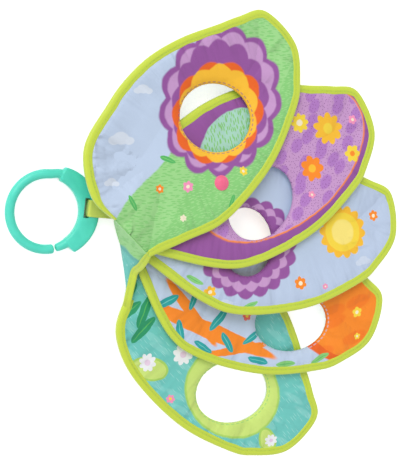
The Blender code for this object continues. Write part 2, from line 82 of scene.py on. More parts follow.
# %% A small node kit
class Nodes:
    """Short calls that build one node tree."""

    def __init__(self, tree):
        self.nodes, self.links = tree.nodes, tree.links

    def node(self, kind, operation=None, **values):
        """A shader node; each value goes to the input of that name."""
        made = self.nodes.new(f"ShaderNode{kind}")
        if operation:
            made.operation = operation
        for key, value in values.items():
            self.put(made.inputs[key.replace("_", " ")], value)
        return made

    def put(self, socket, value):
        if isinstance(value, bpy.types.NodeSocket):
            self.links.new(value, socket)
        elif isinstance(value, tuple) and len(value) == 3 and socket.type == "RGBA":
            socket.default_value = (*value, 1)
        else:
            socket.default_value = value

    def maths(self, operation, *values):
        made = self.node("Math", operation)
        for socket, value in zip(made.inputs, values):
            self.put(socket, value)
        return made.outputs[0]

    def ranged(self, value, low=0.0, high=1.0, to_low=0.0, to_high=1.0):
        """A value moved from one range to another, and held inside it."""
        return self.node("MapRange", Value=value, From_Min=low, From_Max=high,
                         To_Min=to_low, To_Max=to_high).outputs[0]

    def seen(self):
        """1 where the camera looks, also by way of gloss or glass, and 0 for plain light."""
        rays = self.node("LightPath").outputs
        either = self.maths("MAXIMUM", rays["Is Camera Ray"], rays["Is Glossy Ray"])
        return self.maths("MAXIMUM", either, rays["Is Transmission Ray"])


print("node kit ready")

# %% [markdown]
# ## Light
# Two broad lamps stand in for a window and for the room. The sky is pure white where the
# camera sees it, but dimmer as a light, so that the soft shadows stay.

# %% Lamps and world
WORLD_LIGHT = 0.64
bpy.context.scene.view_settings.view_transform = "Standard"
world = bpy.data.worlds.new("studio_world")
bpy.context.scene.world = world
world.use_nodes = True
sky = Nodes(world.node_tree)
backdrop = sky.nodes["Background"].inputs
sky.put(backdrop["Color"], (1, 1, 1))
sky.put(backdrop["Strength"], sky.ranged(sky.seen(), to_low=WORLD_LIGHT))
for name, energy, spread, turns in (("window_light", 1.25, 35, (-38, -30)),
                                    ("side_fill", 0.35, 60, (9, -54))):
    lamp = bpy.data.objects.new(name, bpy.data.lights.new(name, "SUN"))
    bpy.context.scene.collection.objects.link(lamp)
    lamp.data.energy = energy
    lamp.data.angle = math.radians(spread)
    lamp.rotation_euler = (math.radians(turns[0]), math.radians(turns[1]), 0)
    print(name, "at", turns, "degrees")

# %% [markdown]
# ## The leaves' shared pattern
# All five leaves were cut from one pattern, so one outline serves them all. It is a short
# list of points, in shares of the leaf's length, and a smooth curve runs through them.

# %% Sizes and the table of leaves
LEAF = 0.175
CROWN = 0.0026
PITCH = 0.00575
OUTLINE = (
    (0.019, 0.225), (0.139, 0.347), (0.315, 0.369), (0.431, 0.370), (0.560, 0.347),
    (0.693, 0.291), (0.818, 0.214), (0.902, 0.164), (0.986, 0.096), (0.969, -0.071),
    (0.860, -0.173), (0.762, -0.219), (0.536, -0.261), (0.269, -0.233), (0.111, -0.149),
)
DRAWN_IN_REACH = 0.75
LEAVES = (
    {"name": "back_cover", "turn": -39.0, "pivot": (-0.317, -0.186),
     "plane": (0.0, 0.0, 0.0), "width": 1.0, "start": 0.0,
     "head": (-0.346, 0.038), "tail": (-0.295, -0.243),
     "hole": (0.626, -0.039), "hole_size": (0.146, 0.118), "hole_turn": 39.0},
    {"name": "leaf_4", "turn": -9.0, "pivot": (-0.232, -0.201),
     "plane": (1.0, 0.0, 0.0), "width": 0.55, "start": 0.5,
     "head": (-0.353, 0.032), "tail": (-0.266, -0.161),
     "hole": (0.610, -0.049), "hole_size": (0.150, 0.112), "hole_turn": 9.0},
    {"name": "leaf_3", "turn": 10.4, "pivot": (-0.170, -0.125),
     "plane": (2.545, -1.607, 4.52), "width": 1.0, "start": 0.0,
     "head": (-0.365, 0.039), "tail": (-0.258, -0.123),
     "hole": (0.332, 0.029), "hole_size": (0.126, 0.106), "hole_turn": 80.0},
    {"name": "leaf_2", "turn": 31.4, "pivot": (-0.171, -0.057),
     "plane": (3.244, -2.852, 3.29), "width": 1.0, "start": 0.0,
     "head": (-0.378, 0.049), "tail": (-0.255, -0.099),
     "hole": (0.401, -0.051), "hole_size": (0.151, 0.117), "hole_turn": 15.0},
    {"name": "front_cover", "turn": 52.8, "pivot": (-0.301, -0.024),
     "plane": (4.196, -3.853, 2.027), "width": 1.0, "start": 0.0,
     "head": (-0.390, 0.057), "tail": (-0.255, -0.079),
     "hole": (0.538, 0.020), "hole_size": (0.140, 0.124), "hole_turn": -52.8},
)
SEAM_INSET, COVER_SEAM_INSET, FRONT_SEAM_INSET = 0.0019, 0.0009, -0.0005
HEAD_SETBACK, TAIL_SETBACK = 0.0020, 0.0070
SEAM_BOW = 0.0034

# %% Where each leaf lies
def plan(share):
    """A place on the table, from shares of the leaf's length."""
    return Vector((share[0] * LEAF, share[1] * LEAF))


def height(leaf, point):
    """Height of a leaf's middle plane above a place on the table."""
    angle = math.radians(leaf["turn"])
    step = point - plan(leaf["pivot"])
    along = step.x * math.cos(angle) + step.y * math.sin(angle)
    across = step.y * math.cos(angle) - step.x * math.sin(angle)
    lift, rise, roll = leaf["plane"]
    return CROWN + PITCH * (lift + (rise * along - roll * across) / LEAF)


def lifted(leaf, point):
    """A place on the table, raised to a leaf's middle plane."""
    return Vector((point.x, point.y, height(leaf, point)))


seam_of = {joint["name"]: joint for joint in frame["record"]["behaviour"]["joints"]}
first_seam = lifted(LEAVES[1], plan(LEAVES[1]["head"]))
SHIFT = Vector(seam_of["leaf_4_seam"]["pos_m"]) - first_seam
SHIFT.z = 0
print("the book's centring", [round(c, 5) for c in SHIFT])

# %% Each leaf's own frame and edge
def leaf_frame(leaf):
    """x along the leaf, y across it, z out of its face."""
    angle = math.radians(leaf["turn"])
    rise, roll = (PITCH * share / LEAF for share in leaf["plane"][1:])
    along = Vector((math.cos(angle), math.sin(angle), rise))
    across = Vector((-math.sin(angle), math.cos(angle), -roll))
    normal = along.cross(across).normalized()
    along.normalize()
    place = Matrix((along, normal.cross(along), normal)).transposed().to_4x4()
    place.translation = lifted(leaf, plan(leaf["pivot"])) + SHIFT
    return place


def smooth_line(points, steps):
    """Points along a curve that runs smoothly through the given ones."""
    last = len(points) - 1
    line = []
    for i in range(last):
        a, b, c, d = (points[min(max(i + k, 0), last)] for k in (-1, 0, 1, 2))
        for t in (j / steps for j in range(steps)):
            line.append((b * 2 + (c - a) * t + (a * 2 - b * 5 + c * 4 - d) * t * t
                         + (b * 3 - a - c * 3 + d) * t ** 3) / 2)
    return line + [points[-1]]


def seam_line(leaf):
    """Head and tail of the line where a leaf joins the spine, and the ways along and off it."""
    head, tail = (lifted(leaf, plan(leaf[end])) for end in ("head", "tail"))
    run = (tail - head).normalized()
    return head, tail, run, Vector((-run.y, run.x, 0)).normalized()


def seam_ends(leaf):
    """Head and tail of a leaf's own edge at the spine."""
    head, tail, run, side = seam_line(leaf)
    short = 0 if leaf["name"].endswith("cover") else TAIL_SETBACK
    start = HEAD_SETBACK + leaf["start"] * (tail - head).length
    inset = {"back_cover": COVER_SEAM_INSET, "front_cover": FRONT_SEAM_INSET}
    side *= inset.get(leaf["name"], SEAM_INSET)
    return head + run * start + side + SHIFT, tail - run * short + side + SHIFT


def free_edge(leaf, steps=8):
    """The taped edge in the leaf's frame, from the tail round the tip to the head."""
    into = leaf_frame(leaf).inverted()
    head, tail = (Vector((into @ end)[:2]) for end in seam_ends(leaf))
    points = [head]
    for along, across in OUTLINE:
        narrow = leaf["width"] if across > 0 and along < DRAWN_IN_REACH else 1
        points.append(Vector((along, across * narrow)) * LEAF)
    return smooth_line(points + [tail], steps)[::-1]


def seam_points(leaf, count=9):
    """Points between the head and the tail of the edge at the spine."""
    edge = free_edge(leaf)
    head, tail = edge[-1], edge[0]
    run = (tail - head).normalized()
    bow = SEAM_BOW if leaf["name"] == "back_cover" else 0
    side = Vector((-run.y, run.x))
    shares = [i / (count + 1) for i in range(1, count + 1)]
    return [head.lerp(tail, s) + side * bow * 4 * s * (1 - s) for s in shares]


def whole_edge(leaf):
    """A leaf's closed outline, counter-clockwise."""
    return free_edge(leaf) + seam_points(leaf)


print("points round the front cover", len(whole_edge(LEAVES[-1])))

# %% [markdown]
# ## Paint for printed cloth
# The prints are flat shapes laid over each other, as a screen printer lays inks. Images
# would do that too, but nodes stay sharp at every zoom. Each shape is a Mapping node that
# centres, turns and scales the cloth's UV map, a distance from its centre, and a soft
# threshold. The UV map counts shares of the leaf's length, like the pattern itself.

# %% A small ink kit
class Inks(Nodes):
    """Builds one material: a base colour, then one ink after another."""

    def __init__(self, name, base, uv="print"):
        """Inks follow a UV map, the print's with a small wobble, or with None the solid itself."""
        self.material = bpy.data.materials.new(name)
        self.material.use_nodes = True
        super().__init__(self.material.node_tree)
        self.shader = self.nodes["Principled BSDF"]
        self.solid = self.node("TexCoord").outputs["Object"]
        self.colour = base
        self.cloth = self.place = self.uv(uv) if uv else self.solid
        if uv == "print":
            drift = self.node("VectorMath", "MULTIPLY_ADD")
            for socket, value in zip(drift.inputs, (self.noise(26.0, output=1), (0.008, 0.008, 0),
                                                    self.cloth)):
                self.put(socket, value)
            self.place = drift.outputs[0]

    def uv(self, name):
        made = self.node("UVMap")
        made.uv_map = name
        return made.outputs[0]

    def noise(self, scale, where=None, output=0, **more):
        where = self.place if where is None else where
        return self.node("TexNoise", Vector=where, Scale=scale, **more).outputs[output]

    def parts(self, where):
        return self.node("SeparateXYZ", Vector=where).outputs

    def length(self, where):
        away = self.node("VectorMath", "LENGTH")
        self.put(away.inputs[0], where)
        return away.outputs["Value"]

    def angle(self, where):
        parts = self.parts(where)
        return self.maths("ARCTAN2", parts[1], parts[0])

    def local(self, centre, size, turn=0.0, place=None):
        """Coordinates with their centre on a shape and its half sizes as units."""
        made = self.node("Mapping")
        made.vector_type = "TEXTURE"
        for key, value in (("Vector", self.place if place is None else place),
                           ("Location", (*centre, 0)), ("Scale", (*size, 1)),
                           ("Rotation", (0, 0, math.radians(turn)))):
            self.put(made.inputs[key], value)
        return made.outputs[0]

    def stretched(self, scale, place=None, turn=0.0):
        """Coordinates times a factor for each axis, so that a pattern is drawn out."""
        return self.node("Mapping", Vector=self.place if place is None else place, Scale=scale,
                         Rotation=(0, 0, math.radians(turn))).outputs[0]

    def inside(self, distance, edge=1.0, soft=0.02):
        """1 where a distance is under an edge, 0 beyond it."""
        made = self.node("MapRange", Value=distance, From_Min=edge + soft, From_Max=edge - soft)
        made.interpolation_type = "SMOOTHSTEP"
        return made.outputs[0]

    def ink(self, mask, colour):
        made = self.node("Mix")
        made.data_type = "RGBA"
        for key, value in (("Factor", mask), (6, self.colour), (7, colour)):
            self.put(made.inputs[key], value)
        self.colour = made.outputs[2]

    def oval(self, centre, size, turn=0.0, soft=0.02):
        return self.inside(self.length(self.local(centre, size, turn)), soft=soft)

    def petals(self, centre, size, count, depth, turn=0.0):
        """An oval with a scalloped edge."""
        where = self.local(centre, size, turn)
        beat = self.maths("MULTIPLY", self.angle(where), count / 2)
        wave = self.maths("ABSOLUTE", self.maths("SINE", beat))
        return self.inside(self.maths("MULTIPLY_ADD", wave, -depth, self.length(where)), 1 - depth)

    def below(self, centre, turn, wave_length=0.3, swell=0.02, soft=0.004):
        """1 below a line that waves gently."""
        parts = self.parts(self.local(centre, (1, 1), turn))
        phase = self.maths("SINE", self.maths("MULTIPLY", parts[0], math.tau / wave_length))
        return self.inside(self.maths("MULTIPLY_ADD", phase, swell, parts[1]), 0.0, soft)

    def strokes(self, turn, length, width, amount):
        """Short brush marks, all laid one way."""
        where = self.local((0, 0), (length, width), turn)
        cells = self.node("TexVoronoi", Vector=where, Scale=1.0, Randomness=0.9)
        cells.voronoi_dimensions = "2D"
        return self.inside(cells.outputs["Distance"], amount, 0.06)

    def both(self, first, second):
        return self.maths("MULTIPLY", first, second)

    def bump(self, strength, distance, height, under=None):
        made = self.node("Bump", Strength=strength, Distance=distance, Height=height)
        if under is not None:
            self.put(made.inputs["Normal"], under)
        return made.outputs[0]

    def finish(self, **inputs):
        """Join the inks and all other inputs to the shader."""
        for key, value in {"Base_Color": self.colour, **inputs}.items():
            self.put(self.shader.inputs[key.replace("_", " ")], value)
        return self.material


print("ink kit ready")

# %% [markdown]
# Cloth needs more than ink. The weave is far finer than the camera can see, but it breaks
# up the highlights, so two crossed waves make a tiny bump. Puckers run in from the sewn
# edge: they are noise stretched along a second UV map, whose first axis runs round the
# leaf and whose second one measures the distance from its edge.

# %% The cloth under the inks
PUCKER_REACH, CREASE_REACH = 0.022, 0.036


def finish_cloth(inks, pucker=0.75):
    """Tone, weave and puckers, and the inks on the shader."""
    tone = inks.ranged(inks.noise(55.0, inks.solid, Detail=3.0), to_low=0.93, to_high=1.05)
    toned = inks.node("VectorMath", "SCALE", Scale=tone)
    inks.put(toned.inputs[0], inks.colour)
    inks.colour = toned.outputs[0]
    threads = []
    for axis in ("X", "Y"):
        wave = inks.node("TexWave", Vector=inks.cloth, Scale=130.0)
        wave.bands_direction = axis
        threads.append(wave.outputs["Fac"])
    bump = inks.bump(0.18, 0.00008, inks.both(*threads))
    seam = inks.uv("seam")
    from_edge = inks.parts(seam)[1]
    for scale, detail, far, near, distance in (
            ((190, 38, 1), 1.5, PUCKER_REACH, 0.004, 0.0016),
            ((62, 13, 1), 2.5, CREASE_REACH, 0.008, 0.0075)):
        folds = inks.noise(1.0, inks.stretched(scale, seam), Detail=detail)
        ripple = inks.both(folds, inks.ranged(from_edge, far, near))
        bump = inks.bump(pucker, distance, ripple, bump)
    return inks.finish(Normal=bump, Roughness=0.62, Sheen_Weight=0.25, Sheen_Roughness=0.4,
                       Specular_IOR_Level=0.35)


print("cloth finish ready")

# %% [markdown]
# ## Five prints
# Each leaf has a ground colour, a big shape round its peek hole and a few small motifs.
# The motifs here are plain ones that any toy maker could draw: clouds, hills, suns,
# blossoms, reeds and leaves.

# %% Motifs that several prints share
WHITE, CREAM = (0.86, 0.88, 0.90), (0.93, 0.84, 0.62)
PALE_SKY = (0.54, 0.65, 0.83)
GRASS, MEADOW, BRIGHT_GRASS = (0.09, 0.48, 0.12), (0.245, 0.61, 0.19), (0.34, 0.69, 0.26)
PURPLE, DEEP_PURPLE, LILAC = (0.30, 0.088, 0.34), (0.20, 0.055, 0.24), (0.575, 0.318, 0.60)
ORANGE, DEEP_ORANGE, AMBER = (0.96, 0.26, 0.016), (0.84, 0.13, 0.01), (0.95, 0.52, 0.03)
YELLOW, PINK, CORAL = (0.93, 0.68, 0.05), (0.90, 0.30, 0.50), (0.86, 0.16, 0.12)
TEAL, SEA, PALE_SEA = (0.02, 0.36, 0.36), (0.155, 0.57, 0.52), (0.34, 0.70, 0.66)


def blossom(inks, centre, size, petal, heart, count=6, turn=0.0):
    """A round flower with a contrasting heart."""
    inks.ink(inks.petals(centre, (size, size), count, 0.30, turn), petal)
    inks.ink(inks.oval(centre, (size * 0.32, size * 0.32), soft=0.08), heart)


def sprig(inks, centre, length, turn, colour, vein):
    """A pointed leaf: two arcs would meet at its ends, a slim oval reads the same."""
    inks.ink(inks.oval(centre, (length, length * 0.30), turn, 0.05), colour)
    inks.ink(inks.oval(centre, (length * 0.85, length * 0.035), turn, 0.4), vein)


def cloud(inks, centre, size, colour, turn=0.0):
    """Three overlapping puffs, turned so that the cloud lies level on its leaf."""
    for across, up, share in ((-0.9, -0.1, 0.7), (0, 0.15, 1.0), (0.95, -0.15, 0.65)):
        spot = Vector(centre) + Matrix.Rotation(math.radians(turn), 2) @ Vector((across, up)) * size
        inks.ink(inks.oval(spot, (size * share, size * share * 0.72), turn, 0.12), colour)


def rim_stitches(inks, leaf, colour):
    """A line of short stitches round the peek hole, unmoved by the ink's wobble."""
    where = inks.local(leaf["hole"], leaf["hole_size"], leaf["hole_turn"], inks.cloth)
    beat = inks.maths("SINE", inks.maths("MULTIPLY", inks.angle(where), 46.0))
    off = inks.maths("ABSOLUTE", inks.maths("SUBTRACT", inks.length(where), 1.045))
    dashes = inks.both(inks.inside(off, 0.014, 0.008), inks.inside(beat, 0.35, 0.2))
    inks.ink(inks.maths("MULTIPLY", dashes, 0.6), colour)


# %% Front cover: hills under a sky, and a scalloped flower round the hole
def print_front_cover():
    inks = Inks("front_cover_print", PALE_SKY)
    for centre, size in (((0.25, 0.26), 0.030), ((0.44, 0.30), 0.022), ((0.11, 0.20), 0.018)):
        cloud(inks, centre, size, (0.70, 0.77, 0.88), -LEAVES[4]["turn"])
    for centre, turn, wave_length, ground, blades, marks in (
            ((0.20, 0.105), 6, 0.62, BRIGHT_GRASS, MEADOW, (-52, 0.030, 0.0075, 0.30)),
            ((0.50, -0.075), -8, 0.55, MEADOW, BRIGHT_GRASS, (-40, 0.026, 0.006, 0.26))):
        hill = inks.below(centre, turn, wave_length, 0.03)
        inks.ink(hill, ground)
        inks.ink(inks.both(inks.strokes(*marks), hill), blades)
    for centre, size, count, turn, colour in (
            ((0.60, 0.045), (0.285, 0.235), 13, 12, PURPLE),
            ((0.60, 0.045), (0.262, 0.212), 13, 12, LILAC),
            ((0.59, 0.040), (0.238, 0.192), 13, 26, PURPLE),
            ((0.56, 0.030), (0.200, 0.172), 10, 0, DEEP_ORANGE),
            ((0.56, 0.028), (0.182, 0.156), 10, 18, AMBER)):
        inks.ink(inks.petals(centre, size, count, 0.10, turn), colour)
    for centre, size, petal in (((0.27, -0.03), 0.020, PINK), ((0.20, 0.05), 0.016, ORANGE),
                                ((0.45, -0.17), 0.017, YELLOW), ((0.17, -0.08), 0.013, CREAM)):
        blossom(inks, centre, size, petal, CREAM)
    for centre, turn in (((0.10, 0.10), 65), ((0.30, 0.085), 110), ((0.33, -0.20), 20)):
        sprig(inks, centre, 0.030, turn, GRASS, MEADOW)
    rim_stitches(inks, LEAVES[4], DEEP_PURPLE)
    return finish_cloth(inks, pucker=1.0)


# %% Leaf 2: a lilac oval on purple, with sun-coloured blossoms
def print_leaf_2():
    inks = Inks("leaf_2_print", PURPLE)
    inks.ink(inks.oval((0.56, 0.035), (0.398, 0.232), 4, 0.012), ORANGE)
    inks.ink(inks.oval((0.56, 0.035), (0.391, 0.226), 4, 0.012), LILAC)
    field = inks.oval((0.56, 0.035), (0.388, 0.223), 4, 0.012)
    inks.ink(inks.both(inks.strokes(24, 0.085, 0.055, 0.36), field), (0.45, 0.20, 0.56))
    inks.ink(inks.both(inks.strokes(60, 0.011, 0.011, 0.13), field), DEEP_PURPLE)
    inks.ink(inks.oval((0.42, 0.20), (0.15, 0.10), 12, 0.03), (0.42, 0.72, 0.60))
    patch = inks.oval((0.42, 0.20), (0.147, 0.097), 12, 0.03)
    inks.ink(inks.both(inks.strokes(70, 0.030, 0.008, 0.30), patch), MEADOW)
    for centre, size, petal, heart, count in (
            ((0.79, 0.045), 0.060, AMBER, YELLOW, 9), ((0.655, -0.045), 0.048, ORANGE, AMBER, 7),
            ((0.83, -0.085), 0.034, YELLOW, ORANGE, 6), ((0.70, 0.12), 0.036, YELLOW, CREAM, 8),
            ((0.90, 0.02), 0.018, PINK, CREAM, 5), ((0.60, -0.125), 0.015, PINK, CREAM, 5)):
        blossom(inks, centre, size, petal, heart, count)
    rim_stitches(inks, LEAVES[3], LILAC)
    return finish_cloth(inks)


# %% Leaf 3: pale sky, a purple scalloped band round the hole, a sun and blossoms
def print_leaf_3():
    inks = Inks("leaf_3_print", (0.50, 0.60, 0.78))
    for centre, size in (((0.60, 0.10), 0.034), ((0.80, -0.13), 0.022), ((0.20, -0.17), 0.020)):
        cloud(inks, centre, size, (0.60, 0.68, 0.82))
    for centre, size, turn, colour in (((0.335, 0.010), (0.205, 0.185), 5, PURPLE),
                                       ((0.335, 0.012), (0.178, 0.160), 15, LILAC),
                                       ((0.333, 0.018), (0.160, 0.142), 5, PURPLE)):
        inks.ink(inks.petals(centre, size, 18, 0.09, turn), colour)
    sun = (0.735, -0.005)
    inks.ink(inks.petals(sun, (0.098, 0.098), 14, 0.16), AMBER)
    inks.ink(inks.oval(sun, (0.072, 0.072)), YELLOW)
    inks.ink(inks.oval(sun, (0.046, 0.046), soft=0.08), (0.96, 0.78, 0.20))
    for centre, size, petal in (((0.52, -0.155), 0.026, ORANGE), ((0.15, -0.115), 0.024, AMBER),
                                ((0.88, 0.03), 0.020, ORANGE), ((0.62, -0.19), 0.012, PINK)):
        blossom(inks, centre, size, petal, CREAM)
    sprig(inks, (0.10, -0.06), 0.035, -35, MEADOW, GRASS)
    sprig(inks, (0.30, -0.195), 0.030, 8, MEADOW, GRASS)
    rim_stitches(inks, LEAVES[2], DEEP_PURPLE)
    return finish_cloth(inks)


# %% Leaf 4: an orange branch with teal leaves, and an amber field at the tip
def print_leaf_4():
    inks = Inks("leaf_4_print", PALE_SKY)
    inks.ink(inks.oval((0.84, 0.05), (0.30, 0.22), -18, 0.015), DEEP_ORANGE)
    inks.ink(inks.oval((0.86, 0.045), (0.27, 0.19), -18, 0.015), ORANGE)
    field = inks.oval((0.86, 0.045), (0.27, 0.19), -18, 0.015)
    inks.ink(inks.both(inks.strokes(28, 0.16, 0.075, 0.33), field), (0.93, 0.205, 0.012))
    for centre, size, turn, soft in (((0.28, -0.115), (0.30, 0.030), -14, 0.06),
                                     ((0.20, -0.060), (0.16, 0.020), -42, 0.08),
                                     ((0.40, -0.175), (0.14, 0.016), 16, 0.08)):
        inks.ink(inks.oval(centre, size, turn, soft), ORANGE)
    for centre, turn, size in (((0.10, -0.035), 35, 0.050), ((0.17, -0.135), -70, 0.046),
                               ((0.31, -0.070), 60, 0.052), ((0.36, -0.150), -50, 0.044),
                               ((0.46, -0.120), 40, 0.046), ((0.27, -0.180), -25, 0.042),
                               ((0.50, -0.205), -8, 0.044), ((0.20, -0.015), 80, 0.040)):
        sprig(inks, centre, size, turn, TEAL, SEA)
    for centre, turn in (((0.62, -0.205), 12), ((0.76, -0.165), 38)):
        sprig(inks, centre, 0.040, turn, MEADOW, GRASS)
    for centre, size in (((0.88, 0.03), 0.020), ((0.80, 0.11), 0.016), ((0.90, -0.06), 0.014)):
        blossom(inks, centre, size, YELLOW, CREAM, 5)
    blossom(inks, (0.42, -0.045), 0.018, CORAL, YELLOW, 5)
    rim_stitches(inks, LEAVES[1], PALE_SKY)
    return finish_cloth(inks)


# %% Back cover: a pond with pads, reeds and water flowers
def print_back_cover():
    inks = Inks("back_cover_print", SEA)
    inks.ink(inks.strokes(6, 0.190, 0.048, 0.24), (0.22, 0.63, 0.58))
    inks.ink(inks.strokes(-9, 0.095, 0.008, 0.12), (0.34, 0.71, 0.66))
    pad, pad_rim = (0.60, 0.78, 0.19), (0.40, 0.66, 0.12)
    for centre, size, turn in (((0.627, -0.035), (0.205, 0.170), 8),
                               ((0.30, -0.165), (0.075, 0.045), 30),
                               ((0.87, -0.09), (0.055, 0.035), -30)):
        inks.ink(inks.oval(centre, size, turn, 0.02), pad_rim)
        inks.ink(inks.oval(centre, [side - 0.008 for side in size], turn, 0.02), pad)
    for centre, size in (((0.37, -0.045), 0.040), ((0.28, -0.150), 0.034), ((0.88, -0.08), 0.026)):
        blossom(inks, centre, size, WHITE, (0.80, 0.62, 0.78), 8)
    blossom(inks, (0.44, -0.20), 0.018, PINK, YELLOW, 6)
    for centre, turn in (((0.06, -0.02), 95), ((0.10, -0.06), 75), ((0.15, -0.02), 110),
                         ((0.05, -0.10), 60), ((0.19, -0.07), 85)):
        sprig(inks, centre, 0.062, turn, (0.02, 0.30, 0.13), GRASS)
    rim_stitches(inks, LEAVES[0], MEADOW)
    return finish_cloth(inks)


prints = {"front_cover": print_front_cover(), "leaf_2": print_leaf_2(),
          "leaf_3": print_leaf_3(), "leaf_4": print_leaf_4(),
          "back_cover": print_back_cover()}
print("prints", {name: len(made.node_tree.nodes) for name, made in prints.items()})

# %% The plainer prints on the undersides
undersides = {}
for name, ground, dots in (("front_cover", PALE_SEA, SEA), ("leaf_2", PALE_SKY, LILAC),
                           ("leaf_3", ORANGE, AMBER), ("leaf_4", PALE_SEA, MEADOW),
                           ("back_cover", BRIGHT_GRASS, MEADOW)):
    inks = Inks(f"{name}_underside_print", ground)
    inks.ink(inks.strokes(20, 0.070, 0.070, 0.24), dots)
    inks.ink(inks.strokes(-35, 0.030, 0.030, 0.16), CREAM)
    undersides[name] = finish_cloth(inks)
print("undersides", list(undersides))

# %% [markdown]
# ## Padded leaves
# A leaf is two cloths sewn at the edge and round the hole, with wadding between. A thick
# plate with a bevel would look stamped. Instead a fine grid is cut to the pattern with two
# Booleans, raised into a shallow pillow, and then Blender's Cloth lets it swell: the cloth
# is cut a little too large for its frame, as real cloth is, and wrinkles where it must.

# %% Cut a grid to the pattern
CLOTH_CELL, WELD_SHARE = 0.0019, 0.22
TUCK, TUCK_CLEAR = 0.0008, 0.93
SLAB = 0.004


def thicken(shape, faces, lift):
    """Extrude faces straight up."""
    grown = bmesh.ops.extrude_face_region(shape, geom=faces)["geom"]
    tops = [item for item in grown if isinstance(item, bmesh.types.BMVert)]
    bmesh.ops.translate(shape, vec=(0, 0, lift), verts=tops)
    bmesh.ops.recalc_face_normals(shape, faces=shape.faces[:])


def prism(name, loop, reach):
    """An upright prism on a loop, used as a cutter."""
    shape = bmesh.new()
    thicken(shape, [shape.faces.new([shape.verts.new((p.x, p.y, -reach)) for p in loop])], 2 * reach)
    return as_object(name, shape)


def as_object(name, shape):
    """Turn a bmesh into an object of the scene."""
    data = bpy.data.meshes.new(name)
    shape.to_mesh(data)
    shape.free()
    made = bpy.data.objects.new(name, data)
    bpy.context.scene.collection.objects.link(made)
    return made


def baked(piece):
    """The piece with its modifiers applied."""
    graph = bpy.context.evaluated_depsgraph_get()
    graph.update()
    data = bpy.data.meshes.new_from_object(piece.evaluated_get(graph))
    piece.modifiers.clear()
    piece.data = data
    return piece


def carve(piece, cutters, operations):
    """Apply one Boolean after another, and clear the cutters away."""
    for cutter, operation in zip(cutters, operations):
        step = piece.modifiers.new(cutter.name, "BOOLEAN")
        step.object, step.operation, step.solver = cutter, operation, "EXACT"
    baked(piece)
    for cutter in cutters:
        bpy.data.objects.remove(cutter, do_unlink=True)


def rounded(piece):
    """Finish a piece with one level of subdivision."""
    step = piece.modifiers.new("rounding", "SUBSURF")
    step.levels = step.render_levels = 1
    return piece


def outward(loop):
    """Unit directions out of a counter-clockwise loop at its points."""
    ahead = [loop[(i + 1) % len(loop)] - loop[i - 1] for i in range(len(loop))]
    return [Vector((step.y, -step.x)).normalized() for step in ahead]


def away_from(points, loop):
    """Distances of many points to a loop, and how far round the loop each one is."""
    ring = np.array([tuple(p) for p in loop])
    steps = np.roll(ring, -1, axis=0) - ring
    lengths = np.hypot(*steps.T)
    start = np.concatenate([[0], np.cumsum(lengths)[:-1]])
    share = ((points[:, None] - ring) * steps).sum(-1) / (lengths ** 2)
    share = share.clip(0, 1)
    foot = ring + steps * share[..., None]
    gap = np.hypot(*np.moveaxis(points[:, None] - foot, -1, 0))
    near = gap.argmin(1)
    rows = np.arange(len(points))
    return gap[rows, near], start[near] + share[rows, near] * lengths[near]


def hole_loop(leaf, sides=72):
    """The edge of the peek hole in the leaf's frame."""
    centre, turn = plan(leaf["hole"]), Matrix.Rotation(math.radians(leaf["hole_turn"]), 2)
    wide, tall = (share * LEAF for share in leaf["hole_size"])
    angles = [math.tau * i / sides for i in range(sides)]
    return [centre + turn @ Vector((wide * math.cos(a), tall * math.sin(a))) for a in angles]


def cut_grid(leaf):
    """A two-sided grid, cut to the leaf's edge and hole."""
    edge = whole_edge(leaf)
    pattern = [p - out * TUCK for p, out in zip(edge, outward(edge))]
    clear, _ = away_from(np.array([tuple(p) for p in pattern]), edge)
    pattern = [p for p, gap in zip(pattern, clear) if gap > TUCK * TUCK_CLEAR]
    low = Vector((min(p.x for p in edge), min(p.y for p in edge)))
    high = Vector((max(p.x for p in edge), max(p.y for p in edge)))
    size, middle = high - low, (high + low) / 2
    shape = bmesh.new()
    counts = [math.ceil(side / CLOTH_CELL) + 3 for side in size]
    spread = Matrix.Diagonal((counts[0] * CLOTH_CELL, counts[1] * CLOTH_CELL, 1, 1))
    bmesh.ops.create_grid(shape, x_segments=counts[0], y_segments=counts[1], size=0.5,
                          matrix=Matrix.Translation((*middle, -SLAB)) @ spread)
    thicken(shape, shape.faces[:], 2 * SLAB)
    slab = as_object(f"{leaf['name']}_padded", shape)
    cutters = prism("edge_cutter", pattern, 3 * SLAB), prism("hole_cutter", hole_loop(leaf), 3 * SLAB)
    carve(slab, cutters, ("INTERSECT", "DIFFERENCE"))
    return slab


# %% Raise the grid into a pillow
EDGE_HALF, TAPED_HALF, FULL_HALF = 0.00095, 0.0015, 0.00235
TAPE_REACH, SWELL_REACH, HOLE_REACH = 0.0050, 0.0075, 0.0050


def ease(share):
    """A smooth rise from 0 to 1."""
    share = np.clip(share, 0, 1)
    return share * share * (3 - 2 * share)


